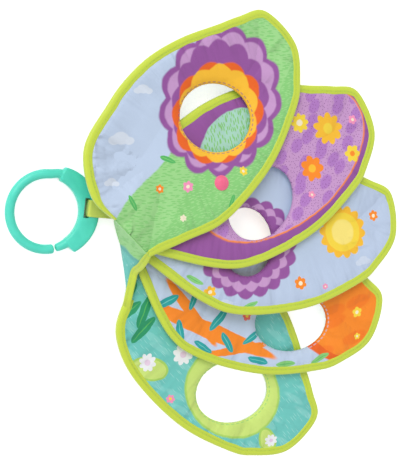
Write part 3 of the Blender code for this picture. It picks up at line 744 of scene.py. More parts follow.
def raise_pillow(slab, leaf):
    """Give every point its height, and return the distances that its height came from."""
    shape = bmesh.new()
    shape.from_mesh(slab.data)
    bmesh.ops.remove_doubles(shape, verts=shape.verts[:], dist=CLOTH_CELL * WELD_SHARE)
    bmesh.ops.triangulate(shape, faces=[f for f in shape.faces if len(f.verts) > 4])
    bmesh.ops.recalc_face_normals(shape, faces=shape.faces[:])
    flat = np.array([v.co[:2] for v in shape.verts])
    side = np.sign([v.co.z for v in shape.verts])
    from_edge, round_edge = away_from(flat, whole_edge(leaf))
    from_hole, _ = away_from(flat, hole_loop(leaf))
    taped = EDGE_HALF + (TAPED_HALF - EDGE_HALF) * np.clip(from_edge / TAPE_REACH, 0, 1)
    rising = ease((from_edge - TAPE_REACH * 0.9) / SWELL_REACH)
    half = taped + (FULL_HALF - TAPED_HALF) * rising
    round_lip = np.sin(np.clip(from_hole / HOLE_REACH, 0, 1) * math.pi / 2)
    half = np.minimum(half, EDGE_HALF + (FULL_HALF - EDGE_HALF) * round_lip)
    for vert, z in zip(shape.verts, side * half):
        vert.co.z = z
    shape.to_mesh(slab.data)
    shape.free()
    return flat, from_edge, round_edge, from_hole


# %% [markdown]
# Blender's Cloth is tuned for garments of a metre or two, so the leaf is swollen at twenty
# times its size and brought back. A negative shrink makes the cloth too large for its
# frame, which is what makes it wrinkle. The taped edge and the hole's edge are pinned, and
# a cap keeps each point near its start so that the leaf still fits between its neighbours.

# %% Let the cloth swell
CLOTH_SCALE = 20
CLOTH_FRAMES = 16
CLOTH_CAP = 0.0007
CLOTH_RISE = 0.0003
FILM_COVER = 0.00165
EDGE_PINS, HOLE_PINS = (0.0040, 0.0022), (0.0004, 0.002)


def swell(slab, from_edge, from_hole):
    """Run the cloth on the pillow and cap how far its points move."""
    start = np.empty(len(slab.data.vertices) * 3)
    slab.data.vertices.foreach_get("co", start)
    slab.data.vertices.foreach_set("co", start * CLOTH_SCALE)
    pins = slab.vertex_groups.new(name="sewn")
    held = np.minimum(*(ease((gap - sewn) / fade) for gap, (sewn, fade) in
                        ((from_edge, EDGE_PINS), (from_hole, HOLE_PINS))))
    for i, free in enumerate(held):
        pins.add([i], float(1 - free), "REPLACE")
    cloth = slab.modifiers.new("swelling", "CLOTH")
    rules = cloth.settings
    rules.quality = 4
    rules.mass = 0.12
    rules.tension_stiffness = rules.compression_stiffness = 12
    rules.shear_stiffness = 4
    rules.bending_stiffness = 0.06
    rules.vertex_group_mass = "sewn"
    rules.pin_stiffness = 2
    rules.use_pressure = True
    rules.uniform_pressure_force = 3.0
    rules.shrink_min = rules.shrink_max = -0.045
    rules.effector_weights.gravity = 0
    cloth.point_cache.frame_start, cloth.point_cache.frame_end = 1, CLOTH_FRAMES
    for number in range(1, CLOTH_FRAMES + 1):
        bpy.context.scene.frame_set(number)
    baked(slab)
    bpy.context.scene.frame_set(1)
    slab.vertex_groups.clear()
    swollen = np.empty_like(start)
    slab.data.vertices.foreach_get("co", swollen)
    start, moved = start.reshape(-1, 3), (swollen / CLOTH_SCALE - start).reshape(-1, 3)
    moved = CLOTH_CAP * np.tanh(moved / CLOTH_CAP)
    outwards = moved[:, 2] * np.sign(start[:, 2])
    moved[:, 2] = np.where(outwards > CLOTH_RISE, CLOTH_RISE * np.sign(start[:, 2]), moved[:, 2])
    ended = start + moved
    inner = np.abs(start[:, 2]) > FILM_COVER
    ended[inner, 2] = np.sign(start[inner, 2]) * np.maximum(np.abs(ended[inner, 2]), FILM_COVER)
    slab.data.vertices.foreach_set("co", ended.ravel())
    return float(np.abs(moved).max())


# %% Make the five leaves
JUMP = 0.006
UNDERSIDE_NORMAL = -0.3
CALM_RINGS, CALM_FADE = 8, 0.87


def without_jumps(slab, from_edge, round_edge):
    """Take the puckers off where the nearest edge changes, so that no crease shows there."""
    pairs = np.empty(len(slab.data.edges) * 2, dtype=int)
    slab.data.edges.foreach_get("vertices", pairs)
    pairs = pairs.reshape(-1, 2)
    jumps = pairs[np.abs(round_edge[pairs[:, 0]] - round_edge[pairs[:, 1]]) > JUMP]
    calm = np.zeros(len(from_edge))
    calm[jumps.ravel()] = 1
    for _ in range(CALM_RINGS):
        spread = calm.copy()
        np.maximum.at(spread, pairs[:, 0], calm[pairs[:, 1]] * CALM_FADE)
        np.maximum.at(spread, pairs[:, 1], calm[pairs[:, 0]] * CALM_FADE)
        calm = spread
    return np.maximum(from_edge, CREASE_REACH * 1.1 * calm)


def map_cloth(slab, flat, from_edge, round_edge):
    """The UV maps: the print's, and the seam's for the puckers."""
    from_edge = without_jumps(slab, from_edge, round_edge)
    corners = np.empty(len(slab.data.loops), dtype=int)
    slab.data.loops.foreach_get("vertex_index", corners)
    for name, pairs in (("print", flat / LEAF), ("seam", np.stack([round_edge, from_edge], 1))):
        layer = slab.data.uv_layers.new(name=name)
        layer.data.foreach_set("uv", pairs[corners].ravel())


for leaf in LEAVES:
    name = leaf["name"]
    slab = cut_grid(leaf)
    flat, from_edge, round_edge, from_hole = raise_pillow(slab, leaf)
    moved = swell(slab, from_edge, from_hole)
    map_cloth(slab, flat, from_edge, round_edge)
    slab.data.materials.clear()
    slab.data.materials.append(prints[name])
    slab.data.materials.append(undersides[name])
    for face in slab.data.polygons:
        face.material_index = 1 if face.normal.z < UNDERSIDE_NORMAL else 0
        face.use_smooth = True
    slab.data.transform(leaf_frame(leaf))
    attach(rounded(slab), f"{name}_body")
    hidden = [f"{name}_top_panel", f"{name}_under_panel", f"{name}_wadding"]
    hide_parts(*hidden)
    print(name, len(slab.data.vertices), "points, cloth moved", round(moved * 1000, 2), "mm")

# %% [markdown]
# ## Edge tape
# Satin tape is folded over the raw edge and sewn through. A curve with a bevel could make
# it, but a real tape's cross-section is a flattened fold, so one profile is extruded from
# station to station round the leaf. Its inner edge wanders a little, as hand-fed tape does.

# %% Satin and thread
STITCH_LINE, STITCH_PITCH = 0.0038, 0.0034


def satin(name, colour, thread):
    """Satin with a fold, a soft stitched dent and a line of stitches near the tape's inner edge, with
    painted shade at the fold and in the dent and a painted highlight on the raised band between them.
    """
    def tinted(*shares):
        return tuple(c * share for c, share in zip(colour, shares))

    inks = Inks(name, colour, "tape")
    along, across, _ = inks.parts(inks.place)
    across = inks.maths("ABSOLUTE", across)
    from_line = inks.maths("ABSOLUTE", inks.maths("SUBTRACT", across, STITCH_LINE))
    beat = inks.maths("FRACT", inks.maths("MULTIPLY", along, 1 / STITCH_PITCH))
    dash = inks.inside(inks.maths("ABSOLUTE", inks.maths("SUBTRACT", beat, 0.5)), 0.38, 0.05)
    stitch = inks.both(inks.inside(from_line, 0.00016, 0.0001), dash)
    pull = inks.ranged(inks.noise(1.0, inks.stretched((28, 1, 1))), 0.35, 0.65, 0.25)
    # Painted shade: the dent along the stitch line is darkened in colour as well as sunk in the bump.
    shaded_groove = inks.both(inks.inside(from_line, 0.00045, 0.00035), pull)
    # Painted shade darkens the fold, a painted highlight lightens the raised band out to the stitch
    # line, and painted shade darkens the stitched dent; the thread keeps its own colour.
    for mask, tint in ((inks.inside(across, 0.0011, 0.0006), tinted(0.86, 0.94, 0.9)),
                       (inks.inside(across, STITCH_LINE, 0.0003), tinted(1.05, 1.05, 1.05)),
                       (shaded_groove, tinted(0.70, 0.80, 0.7)),
                       (inks.maths("MULTIPLY", stitch, 0.6), thread)):
        inks.ink(mask, tint)
    rucks = inks.bump(0.55, 0.0005, inks.noise(1.0, inks.stretched((260, 60, 1)), Detail=2.0))
    level = inks.maths("SUBTRACT", stitch, inks.maths("MULTIPLY", shaded_groove, 0.6))
    return inks.finish(Normal=inks.bump(0.35, 0.0003, level, rucks), Roughness=0.42,
                       Sheen_Weight=0.3, Specular_IOR_Level=0.5)


TAPE_LIME = (0.54, 0.66, 0.043)
tape_satin = satin("lime_tape_satin", TAPE_LIME, (0.60, 0.72, 0.10))

# %% Sweep a profile from station to station
TAPE_HALF_PROFILE = (
    (0.0056, 0.00130), (0.0059, 0.00155), (0.0057, 0.00195), (0.0048, 0.00208),
    (0.0037, 0.00204), (0.0030, 0.00218), (0.0017, 0.00202), (0.0007, 0.00166),
    (0.00015, 0.00105),
)
TAPE_INSIDE = (0.0008, 0.00070)


def sweep(name, stations, marks):
    """Extrude a closed loop through its stations. Each point keeps its mark as a UV."""
    shape = bmesh.new()
    layer = shape.loops.layers.uv.new("tape")
    ring = [shape.verts.new(p) for p in stations[0]]
    edges = [shape.edges.new((ring[i - 1], ring[i])) for i in range(len(ring))]
    mark_of = dict(zip(ring, marks[0]))
    shape.faces.new(ring)
    for station, station_marks in zip(stations[1:], marks[1:]):
        grown = bmesh.ops.extrude_edge_only(shape, edges=edges)["geom"]
        fresh = {item for item in grown if isinstance(item, bmesh.types.BMVert)}
        ring = [next(edge.other_vert(vert) for edge in vert.link_edges
                     if edge.other_vert(vert) in fresh) for vert in ring]
        for vert, place in zip(ring, station):
            vert.co = place
        mark_of.update(zip(ring, station_marks))
        edges = [shape.edges.get((ring[i - 1], ring[i])) for i in range(len(ring))]
    shape.faces.new(ring)
    for face in shape.faces:
        face.smooth = True
        for corner in face.loops:
            corner[layer].uv = mark_of[corner.vert]
    shape.normal_update()
    bmesh.ops.triangulate(shape, faces=[f for f in shape.faces if len(f.verts) > 4])
    bmesh.ops.recalc_face_normals(shape, faces=shape.faces[:])
    return as_object(name, shape)


# %% The five tapes
TAPE_STEPS = 6
# Swings have a size and a pace, and tapers the least share and their reach.
SLOW_WANDER, FAST_WANDER, LIFT_WAVE = (0.045, 410), (0.03, 1130), (0.03, 760)
HEAD_TAPER, TAIL_TAPER = (0.22, 0.026), (0.75, 0.007)


def tape_side(edge):
    """Inward directions at the points of an edge."""
    sides = []
    for i in range(len(edge)):
        run = (edge[min(i + 1, len(edge) - 1)] - edge[max(i - 1, 0)]).normalized()
        sides.append(Vector((-run.y, run.x)))
    return sides


def folded_profile():
    """The tape cut across: (depth from the fold, height) round the whole channel."""
    lower = [(depth, -high) for depth, high in reversed(TAPE_HALF_PROFILE)]
    depth, high = TAPE_INSIDE
    return [*TAPE_HALF_PROFILE, *lower, (depth, -high), (depth, high)]


def swing(kind, far, shift=0.0):
    """One of the tape's slow changes on its way round the leaf."""
    size, pace = kind
    return size * math.sin(far * pace + shift)


def taper(gap, kind):
    """A share that is least at an end of the tape, and 1 from a little way off."""
    least, reach = kind
    return least + (1 - least) * float(ease(gap.length / reach))


def edge_tape(leaf):
    """Satin tape folded round one leaf's free edge."""
    edge = free_edge(leaf, TAPE_STEPS)
    sides = tape_side(edge)
    if leaf["name"] != "front_cover":
        edge, sides = edge[:-1], sides[:-1]
    place, profile = leaf_frame(leaf), folded_profile()
    stations, marks, far = [], [], 0.0
    for i, (point, side) in enumerate(zip(edge, sides)):
        far += (point - edge[max(i - 1, 0)]).length
        wander = 1 + swing(SLOW_WANDER, far, leaf["turn"]) + swing(FAST_WANDER, far)
        lifts = 1 + swing(LIFT_WAVE, far, 2)
        if leaf["name"] == "front_cover":
            wander *= taper(point - edge[-1], HEAD_TAPER) * taper(point - edge[0], TAIL_TAPER)
        stations.append([place @ Vector((*(point + side * deep * wander), tall * lifts))
                         for deep, tall in profile])
        marks.append([(far, math.copysign(deep, tall)) for deep, tall in profile])
    tape = rounded(sweep(f"{leaf['name']}_edge_tape", stations, marks))
    tape.data.materials.append(tape_satin)
    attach(tape, f"{leaf['name']}_body")
    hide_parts(f"{leaf['name']}_binding")
    return tape


tapes = {leaf["name"]: edge_tape(leaf) for leaf in LEAVES}
print("tapes", {name: len(made.data.vertices) for name, made in tapes.items()})

# %% [markdown]
# ## The spine
# The leaves are sewn to one strip of printed cloth that turns up from the back cover to
# the front one, so the strip seen beside the ring is narrow and twisted. It could be a
# curved plane with thickness; here each length is extruded from section to section along
# the two seams that it joins. Its tail edge carries the same lime tape.

# %% Spine print
STRIP_SECTIONS = 28
STRIP_HALF = 0.0004
STRIP_LAP = 0.0002
COVER_EDGE, COVER_CLEAR, TAIL_RISE = 0.00095, 0.0006, 0.0012
LOOSE_BOW = 0.0010
SLACK = (0.0, 0.0016, 0.0010, 0.0005, 0.0)
STRIP_BULGE = 0.05
STRIP_PROFILE = ((0, -0.9), (0, 0.9), (0.05, 1), (0.5, 1), (0.95, 1), (1, 0.9), (1, -0.9),
                 (0.95, -1), (0.5, -1), (0.05, -1))
SHEET_LEAST, AREA_LEAST = 0.0101, 0.305


def print_spine():
    """Grass at the head and top, running into teal water."""
    inks = Inks("spine_cloth", SEA, None)
    slant = inks.parts(inks.local((-0.0592, -0.0102), (1, 1), -42))
    above = inks.maths("MULTIPLY_ADD", inks.noise(90.0), -0.004, slant[1])
    depth = inks.maths("MULTIPLY", above, -1.0)
    sparkle = inks.node("TexVoronoi", Vector=inks.stretched((420, 160, 420)), Scale=1.0)
    tufts = inks.inside(inks.noise(1.0, inks.stretched((90, 520, 200), turn=-50)), 0.44, 0.06)
    for mask, colour in ((inks.inside(sparkle.outputs["Distance"], 0.17, 0.06), PALE_SEA),
                         (inks.inside(depth, 0.0014, 0.0008), (0.10, 0.44, 0.40)),
                         (inks.inside(depth, 0.0, 0.0005), BRIGHT_GRASS),
                         (inks.both(tufts, inks.inside(depth, -0.0004, 0.0004)), MEADOW)):
        inks.ink(mask, colour)
    weave = inks.bump(0.2, 0.0001, inks.noise(1500.0))
    return inks.finish(Normal=inks.bump(0.5, 0.0006, inks.noise(210.0), weave), Roughness=0.6,
                       Sheen_Weight=0.25)


spine_cloth = print_spine()


# %% The four lengths of the spine
def strip_line(index):
    """Points from head to tail on the line where a leaf joins the spine."""
    head, tail, _, side = seam_line(LEAVES[index])
    line = []
    for i in range(STRIP_SECTIONS):
        share = i / (STRIP_SECTIONS - 1)
        point = head.lerp(tail, share) + SHIFT - side * SLACK[index] * 4 * share * (1 - share)
        if index == 0:
            point += side * (LOOSE_BOW * 4 * share * (1 - share) + COVER_SEAM_INSET)
            point.z += COVER_EDGE + COVER_CLEAR + STRIP_HALF + TAIL_RISE * share ** 3
        line.append(point)
    return line


def spine_length(index):
    """The spine cloth between one leaf and the next one up."""
    low, high = strip_line(index), strip_line(index + 1)
    stations, marks = [], []
    flat_area = 0.0
    for i, (bottom, top) in enumerate(zip(low, high)):
        up = (top - bottom).normalized()
        row = min(i, STRIP_SECTIONS - 2)
        run = (high[row + 1] - high[row] + low[row + 1] - low[row]).normalized()
        out = up.cross(run).normalized()
        from_tail = ((low[-1] - bottom).length + (high[-1] - top).length) / 2
        bulge = STRIP_BULGE * (top - bottom).length
        start, stop = bottom - up * STRIP_LAP, top + up * STRIP_LAP
        stations.append([start.lerp(stop, share)
                         + out * (reach * STRIP_HALF + bulge * math.sin(share * math.pi))
                         for share, reach in STRIP_PROFILE])
        marks.append([(from_tail, share) for share, _ in STRIP_PROFILE])
        if i:
            step = (bottom - low[i - 1] + top - high[i - 1]) / 2
            flat_area += (top - bottom).cross(step).length
    strip = rounded(sweep(f"spine_cloth_{index + 1}", stations, marks))
    strip.data.materials.append(spine_cloth)
    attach(strip, f"{LEAVES[index]['name']}_body")
    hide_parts(f"spine_strip_{index + 1}")
    long = max((low[-1] - low[0]).length, (high[-1] - high[0]).length)
    wide = max(SHEET_LEAST, flat_area / long)
    return round(wide * 1000, 1), round(long * 1000, 1), round(flat_area * 1e6)


print("spine lengths, wide, long and area", [spine_length(k) for k in range(4)])

# %% Tape along the spine's tail edge
TAPE_MIDDLE = 0.0029
TAIL_RUN_ON, TAIL_LAP = (0.0060, 0.0024), 0.0006
TAIL_LIFTS = (0.0038, 0.0019, 0.0012, 0.0010, 0.0010)
TAIL_DIP = 0.0031
TAIL_REACH, TAIL_LEAD = 0.0013, 0.008
TAIL_WIDE, TAIL_NARROWING, TAIL_FLAT, TAIL_LEVEL = 0.88, 0.20, 0.5, 0.15


def tape_start(leaf):
    """Middle of a cover's tape at the spine's tail, and the way that it runs from there."""
    edge = free_edge(leaf, TAPE_STEPS)
    sides = tape_side(edge)
    first, further = (leaf_frame(leaf) @ (edge[i] + sides[i] * TAPE_MIDDLE).to_3d()
                      for i in (0, TAPE_STEPS))
    return first, (further - first).normalized()


def tail_tapes(steps=7):
    """Four short lengths of folded tape that lead from the back cover's tape to the front's."""
    lines = [strip_line(k) for k in range(5)]
    homeward = [(line[0] - line[-1]).normalized() for line in lines]
    low, low_run = tape_start(LEAVES[0])
    high, high_run = tape_start(LEAVES[-1])
    stops = [low + low_run * TAIL_RUN_ON[0]]
    stops += [line[-1] + home * TAIL_REACH for line, home in zip(lines[1:-1], homeward[1:-1])]
    stops.append(high + high_run * TAIL_RUN_ON[1])
    stops = [stops[0] + low_run * TAIL_LEAD, *stops, stops[-1] + high_run * TAIL_LEAD]
    path = smooth_line(stops, steps)[steps:-steps]
    profile, far = folded_profile(), 0.0
    for k in range(4):
        stations, marks = [], []
        for j in range(steps + 1):
            i = k * steps + j
            run = (path[min(i + 1, len(path) - 1)] - path[max(i - 1, 0)]).normalized()
            inward = homeward[k].lerp(homeward[k + 1], j / steps)
            inward.z *= TAIL_LEVEL
            inward = (inward - run * inward.dot(run)).normalized()
            up = run.cross(inward).normalized()
            up = -up if up.z < 0 else up
            lift = TAIL_LIFTS[k] + (TAIL_LIFTS[k + 1] - TAIL_LIFTS[k]) * j / steps
            lift -= TAIL_DIP * float(1 - ease(j / 2)) if k == 0 else 0
            lap = run * (TAIL_LAP if j == steps else -TAIL_LAP if j == 0 else 0)
            middle = path[i] + up * lift + lap
            far += (path[i] - path[max(i - 1, 0)]).length if j else 0
            wide = TAIL_WIDE - (TAIL_NARROWING * j / steps if k == 3 else 0)
            stations.append([middle + inward * (deep - TAPE_MIDDLE) * wide + up * tall * TAIL_FLAT
                             for deep, tall in profile])
            marks.append([(far, math.copysign(deep, tall)) for deep, tall in profile])
        tape = rounded(sweep(f"spine_tail_tape_{k + 1}", stations, marks))
        tape.data.materials.append(tape_satin)
        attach(tape, f"{LEAVES[k]['name']}_body")
    return len(path)


print("tail tape points", tail_tapes())

# %% [markdown]
# ## The link ring
# The ring is one moulding: a round bar, a broad flat side with a slot for the webbing, and
# a stub that meets the bar's end with a snap gap. A torus with a box joined on would show a
# hard join, so one cross-section changes shape as it travels round the ring.

# %% Moulded plastic
def moulded_mint():
    """Mint plastic with a faint flow mottle and fine surface texture."""
    inks = Inks("moulded_mint", (0.075, 0.70, 0.54), None)
    inks.ink(inks.ranged(inks.noise(140.0, Detail=2.0), 0.3, 0.7), (0.095, 0.76, 0.59))
    return inks.finish(Normal=inks.bump(0.06, 0.00004, inks.noise(2600.0)), Roughness=0.34,
                       Specular_IOR_Level=0.45, Subsurface_Weight=0.08,
                       Subsurface_Radius=(0.002, 0.004, 0.004))


mint = moulded_mint()

# %% Sizes of the ring and where it lies
RING_INNER, RING_BAR = 0.0202, 0.0030
RING_OUTER, RING_SHIFT = 0.0282, 0.0050
RING_HALF = 0.00325
WEBBING_TURN, SLOT_TURN = -5.0, 5.87
SLOT_INSET = 0.6385 * (RING_SHIFT + RING_OUTER - RING_INNER)
SLOT_HALF = (0.0018, 0.0062)
WEBBING_THICK, WEBBING_WIDE, WEBBING_GAP = 0.0009, 0.0104, 0.00035
WEBBING_REACH, BEND_GAP, TAB = 0.0062, 0.0008, 0.0045
TAB_HEIGHT, WEBBING_FLOOR = 0.0056, 0.0016
tab_end = plan((-0.3363, 0.0706)) + Vector((SHIFT.x, SHIFT.y))
strap_run, slot_run = (Vector((math.cos(angle), math.sin(angle)))
                       for angle in map(math.radians, (WEBBING_TURN, SLOT_TURN)))
slot_at = tab_end - strap_run * (SLOT_INSET + WEBBING_GAP + WEBBING_REACH + BEND_GAP + TAB)
ring_at = slot_at - slot_run * (RING_SHIFT + RING_OUTER - SLOT_INSET)
ring_place = Matrix.Translation((ring_at.x, ring_at.y, RING_HALF))
strap_place = (Matrix.Translation((slot_at.x, slot_at.y, RING_HALF))
               @ Matrix.Rotation(math.radians(WEBBING_TURN), 4, "Z"))

# %% Sweep the changing section round the ring
# Places on the ring are in degrees: the flat side, the bar's two ends, its straight stretch
# and the stub. A run of stations is its first place, its step and their number.
SECTION_POINTS = 28
PLATE_FROM, PLATE_TO, PLATE_STEP = -57, 70, 2.5
BAR_FROM, BAR_TO = -75.5, 282.4
BAR_STRAIGHT, STRAIGHT_FROM, STRAIGHT_TO, STRAIGHT_FADE = 0.0014, 60, 86, 15
STUB_SLIM, STUB_FADE = 0.0006, 18
BAR_FROM_ROUND, BAR_TO_ROUND, TIP_LEAST = 2.2, 3.2, 0.02
PLATE_SQUARENESS = 2.2
STATION_RUNS = ((-75.4, 0.8, 3), (-73, 1, 33), (-39, 3, 32), (55, 1, 17), (73, 4, 51), (276, 0.9, 8))


def ring_section(degrees):
    """Middle reach, half width, half height and squareness of the ring's section at an angle."""
    angle = math.radians(degrees)
    plate_reach = (RING_SHIFT * math.cos(angle)
                   + math.sqrt(RING_OUTER ** 2 - (RING_SHIFT * math.sin(angle)) ** 2))
    rise = float(ease((degrees - PLATE_FROM) / PLATE_STEP) * ease((PLATE_TO - degrees) / PLATE_STEP))
    bend = float(ease((STRAIGHT_TO - degrees) / STRAIGHT_FADE) * (degrees > STRAIGHT_FROM))
    straight = BAR_STRAIGHT * bend * (1 - rise)
    slim = STUB_SLIM * min(1, max(0, (PLATE_FROM - degrees) / STUB_FADE))
    bar_reach = RING_INNER + 2 * RING_BAR
    outer = bar_reach + (plate_reach - bar_reach) * rise - slim + straight
    inner = RING_INNER + slim + straight
    half = RING_BAR + (RING_HALF - RING_BAR) * rise - slim
    tip = min((degrees - BAR_FROM) / BAR_FROM_ROUND, (BAR_TO - degrees) / BAR_TO_ROUND, 1)
    tip = math.sqrt(max(TIP_LEAST, 1 - (1 - tip) ** 2))
    middle, wide = (outer + inner) / 2, (outer - inner) / 2
    return middle, wide * tip, half * tip, 2 + PLATE_SQUARENESS * rise


def build_ring():
    """The whole ring in its own frame, before it is moved to its place."""
    degrees = [start + k * step for start, step, count in STATION_RUNS for k in range(count)]
    stations = []
    for angle in degrees:
        middle, wide, tall, square = ring_section(angle)
        turn = math.radians(angle)
        station = []
        for k in range(SECTION_POINTS):
            a = math.tau * k / SECTION_POINTS
            out, up = (math.copysign(abs(part) ** (2 / square), part)
                       for part in (math.cos(a), math.sin(a)))
            reach = middle + out * wide
            station.append(Vector((reach * math.cos(turn), reach * math.sin(turn), up * tall)))
        stations.append(station)
    marks = [[(angle, k / SECTION_POINTS) for k in range(SECTION_POINTS)] for angle in degrees]
    return baked(rounded(sweep("link", stations, marks)))


def block(name, low, high, place):
    """A box between two corners, used as a cutter."""
    shape = bmesh.new()
    bmesh.ops.create_cube(shape, size=1)
    bmesh.ops.scale(shape, vec=[b - a for a, b in zip(low, high)], verts=shape.verts[:])
    bmesh.ops.translate(shape, vec=[(a + b) / 2 for a, b in zip(low, high)], verts=shape.verts[:])
    bmesh.ops.transform(shape, matrix=place, verts=shape.verts[:])
    return as_object(name, shape)


ring = build_ring()
ring.data.transform(ring_place)
wide, long = SLOT_HALF
cutters = [block("slot", (-wide, -long, -0.01), (wide, long, 0.01), strap_place),
           block("recess", (0.0003 - wide, -long, -0.01),
                 (SLOT_INSET * 2, long, WEBBING_FLOOR - RING_HALF), strap_place)]
carve(ring, cutters, ("DIFFERENCE", "DIFFERENCE"))
soft_rim = ring.modifiers.new("soft_rim", "BEVEL")
soft_rim.width, soft_rim.segments = 0.0003, 2
soft_rim.limit_method, soft_rim.angle_limit = "ANGLE", math.radians(55)
ring.data.materials.clear()
ring.data.materials.append(mint)
ring.data.polygons.foreach_set("material_index", [0] * len(ring.data.polygons))
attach(ring, "link_body")
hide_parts("link_ring")
print("ring", len(ring.data.vertices), "points")

# %% [markdown]
# ## Webbing
# A short length of woven lime webbing runs through the ring's slot, folds back on itself
# and is sewn into the spine. A ribbon's cross-section is swept along that path.

# %% Woven webbing
def woven_lime():
    """Webbing with ribs across it and a finer thread along it, on a base colour painted lighter than
    its own against the front cover's shade, with painted shade in the weave's low spots.
    """
    # Painted light: the base colour is lighter than the webbing's own, to make up for the shade of
    # the front cover over it.
    inks = Inks("woven_lime", (0.75, 0.87, 0.15), "tape")
    waves = [inks.maths("SINE", inks.maths("MULTIPLY", part, math.tau / pitch))
             for part, pitch in zip(inks.parts(inks.place), (0.0007, 0.0009))]
    weave = inks.both(*waves)
    # Painted shade: the weave's low spots, where the bump sinks, are darker.
    inks.ink(inks.inside(weave, -0.2, 0.4), (0.67, 0.80, 0.11))
    return inks.finish(Normal=inks.bump(0.5, 0.0002, weave), Roughness=0.6, Sheen_Weight=0.3)


webbing_cloth = woven_lime()


# %% Sweep the ribbon
WEBBING_ROUND = 0.0003


def ribbon(name, path, thick):
    """A flat band along points (along the strap, height), as wide as the webbing."""
    stations, marks = [], []
    half, far = WEBBING_WIDE / 2, 0.0
    near = half - WEBBING_ROUND
    profile = ((-half, -0.3), (-half, 0.3), (-near, 0.5), (near, 0.5),
               (half, 0.3), (half, -0.3), (near, -0.5), (-near, -0.5))
    for i, (along, high) in enumerate(path):
        before, after = path[max(i - 1, 0)], path[min(i + 1, len(path) - 1)]
        run = Vector((after[0] - before[0], after[1] - before[1])).normalized()
        far += math.dist(path[i], path[max(i - 1, 0)])
        stations.append([strap_place @ Vector((along - run.y * deep * thick, across,
                                               high + run.x * deep * thick - RING_HALF))
                         for across, deep in profile])
        marks.append([(far, across) for across, _ in profile])
    band = sweep(name, stations, marks)
    band.data.materials.append(webbing_cloth)
    return band


def rounded_path(points, steps=5):
    """A smooth line through the strap's folds."""
    return [tuple(p) for p in smooth_line([Vector(p) for p in points], steps)]


web_in, web_out = SLOT_HALF[0] - WEBBING_GAP, SLOT_INSET + WEBBING_GAP
web_low, web_high = WEBBING_FLOOR - WEBBING_GAP, 2 * RING_HALF + WEBBING_GAP
web_end, web_join = web_out + WEBBING_REACH, TAB_HEIGHT + WEBBING_THICK
ply = WEBBING_THICK / 2
loop_path = rounded_path([
    (web_end, web_join - ply), (web_end - 0.0020, web_join - ply), (web_out, web_low - ply),
    (web_out * 0.5, web_low - ply), (web_in, web_low - ply), (web_in - ply, web_low + 0.0006),
    (web_in - ply, web_high - 0.0006), (web_in + 0.0003, web_high + ply),
    (web_out * 0.5, web_high + ply), (web_out, web_high + ply),
    (web_end - 0.0015, web_join + ply), (web_end, web_join + ply)])
loop = ribbon("webbing_link_loop", loop_path, WEBBING_THICK * 0.96)
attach(loop, "link_body")
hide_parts("webbing_loop")
tab_start = web_end + BEND_GAP * 0.35
tab_path = rounded_path([(tab_start, web_join), (tab_start + 0.002, web_join),
                         (tab_start + 0.0042, web_join), (tab_start + 0.0062, web_join - 0.0001)])
tab = ribbon("webbing_sewn_tab", tab_path, WEBBING_THICK * 1.96)
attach(tab, "back_cover_body")
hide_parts("webbing_tab")
for band in (loop, tab):
    rounded(band)

# %% [markdown]
# ## The squeak dot
# A small padded dot marks where to press. It is a low dome with a raised rim, made by
# spinning half of its outline round an upright axis.

# %% Dot
def coral_cloth():
    """Knitted coral cloth."""
    inks = Inks("coral_cloth", (0.86, 0.10, 0.22), None)
    inks.ink(inks.noise(420.0), (0.93, 0.16, 0.30))
    knit = inks.node("TexVoronoi", Vector=inks.solid, Scale=2200.0)
    return inks.finish(Normal=inks.bump(0.3, 0.0001, knit.outputs["Distance"]), Roughness=0.5,
                       Sheen_Weight=0.3)


DOT_PLACE = (0.358, -0.132)
DOT_PROFILE = ((0, 0.0017), (0.0047, 0.0017), (0.0050, 0.0024), (0.0047, 0.0031),
               (0.0041, 0.0033), (0.0038, 0.0033), (0.0030, 0.0038), (0.0015, 0.0042), (0, 0.0043))


def squeak_dot():
    """Spin the dot's outline and put it on the front cover."""
    shape = bmesh.new()
    line = [shape.verts.new((x, 0, z)) for x, z in DOT_PROFILE]
    edges = [shape.edges.new(pair) for pair in zip(line, line[1:])]
    bmesh.ops.spin(shape, geom=line + edges, cent=(0, 0, 0), axis=(0, 0, 1), angle=math.tau,
                   steps=40, use_merge=True)
    bmesh.ops.remove_doubles(shape, verts=shape.verts[:], dist=1e-6)
    bmesh.ops.recalc_face_normals(shape, faces=shape.faces[:])
    centre = plan(DOT_PLACE)
    cover = leaf_frame(LEAVES[-1]) @ Matrix.Translation((centre.x, centre.y, 0))
    bmesh.ops.transform(shape, matrix=cover, verts=shape.verts[:])
    for face in shape.faces:
        face.smooth = True
    return as_object("press_dot", shape)


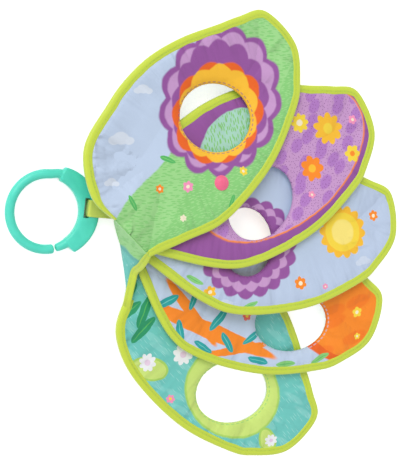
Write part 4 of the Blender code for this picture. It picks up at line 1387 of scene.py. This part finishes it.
dot = squeak_dot()
dot.data.materials.append(coral_cloth())
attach(dot, "front_cover_body")
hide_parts("squeak_dot")

# %% [markdown]
# ## What lies inside
# The crinkle films and the squeaker stay as they were packed, sealed inside the leaves.
# They still get finishes of their own, so that the model is complete when it is opened.

# %% Film and squeaker finishes
def hidden_finish(name, colour, rough, scale):
    """A cloudy plastic."""
    inks = Inks(name, colour, None)
    cloudy = inks.noise(scale, Detail=4.0)
    inks.ink(cloudy, tuple(c * 0.85 for c in colour))
    return inks.finish(Normal=inks.bump(0.3, 0.0003, cloudy), Roughness=rough)


film = hidden_finish("crinkle_film", (0.80, 0.82, 0.84), 0.25, 120.0)
shell = hidden_finish("squeaker_shell", (0.82, 0.82, 0.79), 0.4, 300.0)
for name, finish in (("front_cover_crinkle_film", film), ("back_cover_crinkle_film", film),
                     ("squeaker", shell)):
    for slot in bpy.data.objects[name].material_slots:
        slot.material = finish

# %% [markdown]
# ## The table
# The photograph's table is pure white. A lamp strong enough to whiten it would bleach the
# cloth, so the table glows a little where it lies open, but only for the camera and for
# reflections, and the soft shadow under the leaves survives.

# %% White table
TABLE_GLOW, GAP_REACH = 0.62, 0.008
TABLE_SIZE, TABLE_DROP = 3, 0.0003


def white_table():
    """Pale matt white, with a glow that narrow gaps such as the ring's slot don't get."""
    inks = Inks("white_table", (0.88, 0.88, 0.88), None)
    inks.ink(inks.noise(8.0), (0.90, 0.90, 0.90))
    around = inks.node("AmbientOcclusion", Distance=GAP_REACH)
    around.samples = 8
    lit = inks.ranged(around.outputs["AO"], 0.25, 0.45, to_high=TABLE_GLOW)
    return inks.finish(Roughness=0.9, Specular_IOR_Level=0.1, Emission_Color=(1, 1, 1),
                       Emission_Strength=inks.both(inks.seen(), lit))


shape = bmesh.new()
bmesh.ops.create_grid(shape, x_segments=4, y_segments=4, size=TABLE_SIZE)
bmesh.ops.translate(shape, vec=(0, 0, -TABLE_DROP), verts=shape.verts[:])
table = as_object("table", shape)
table.data.materials.append(white_table())
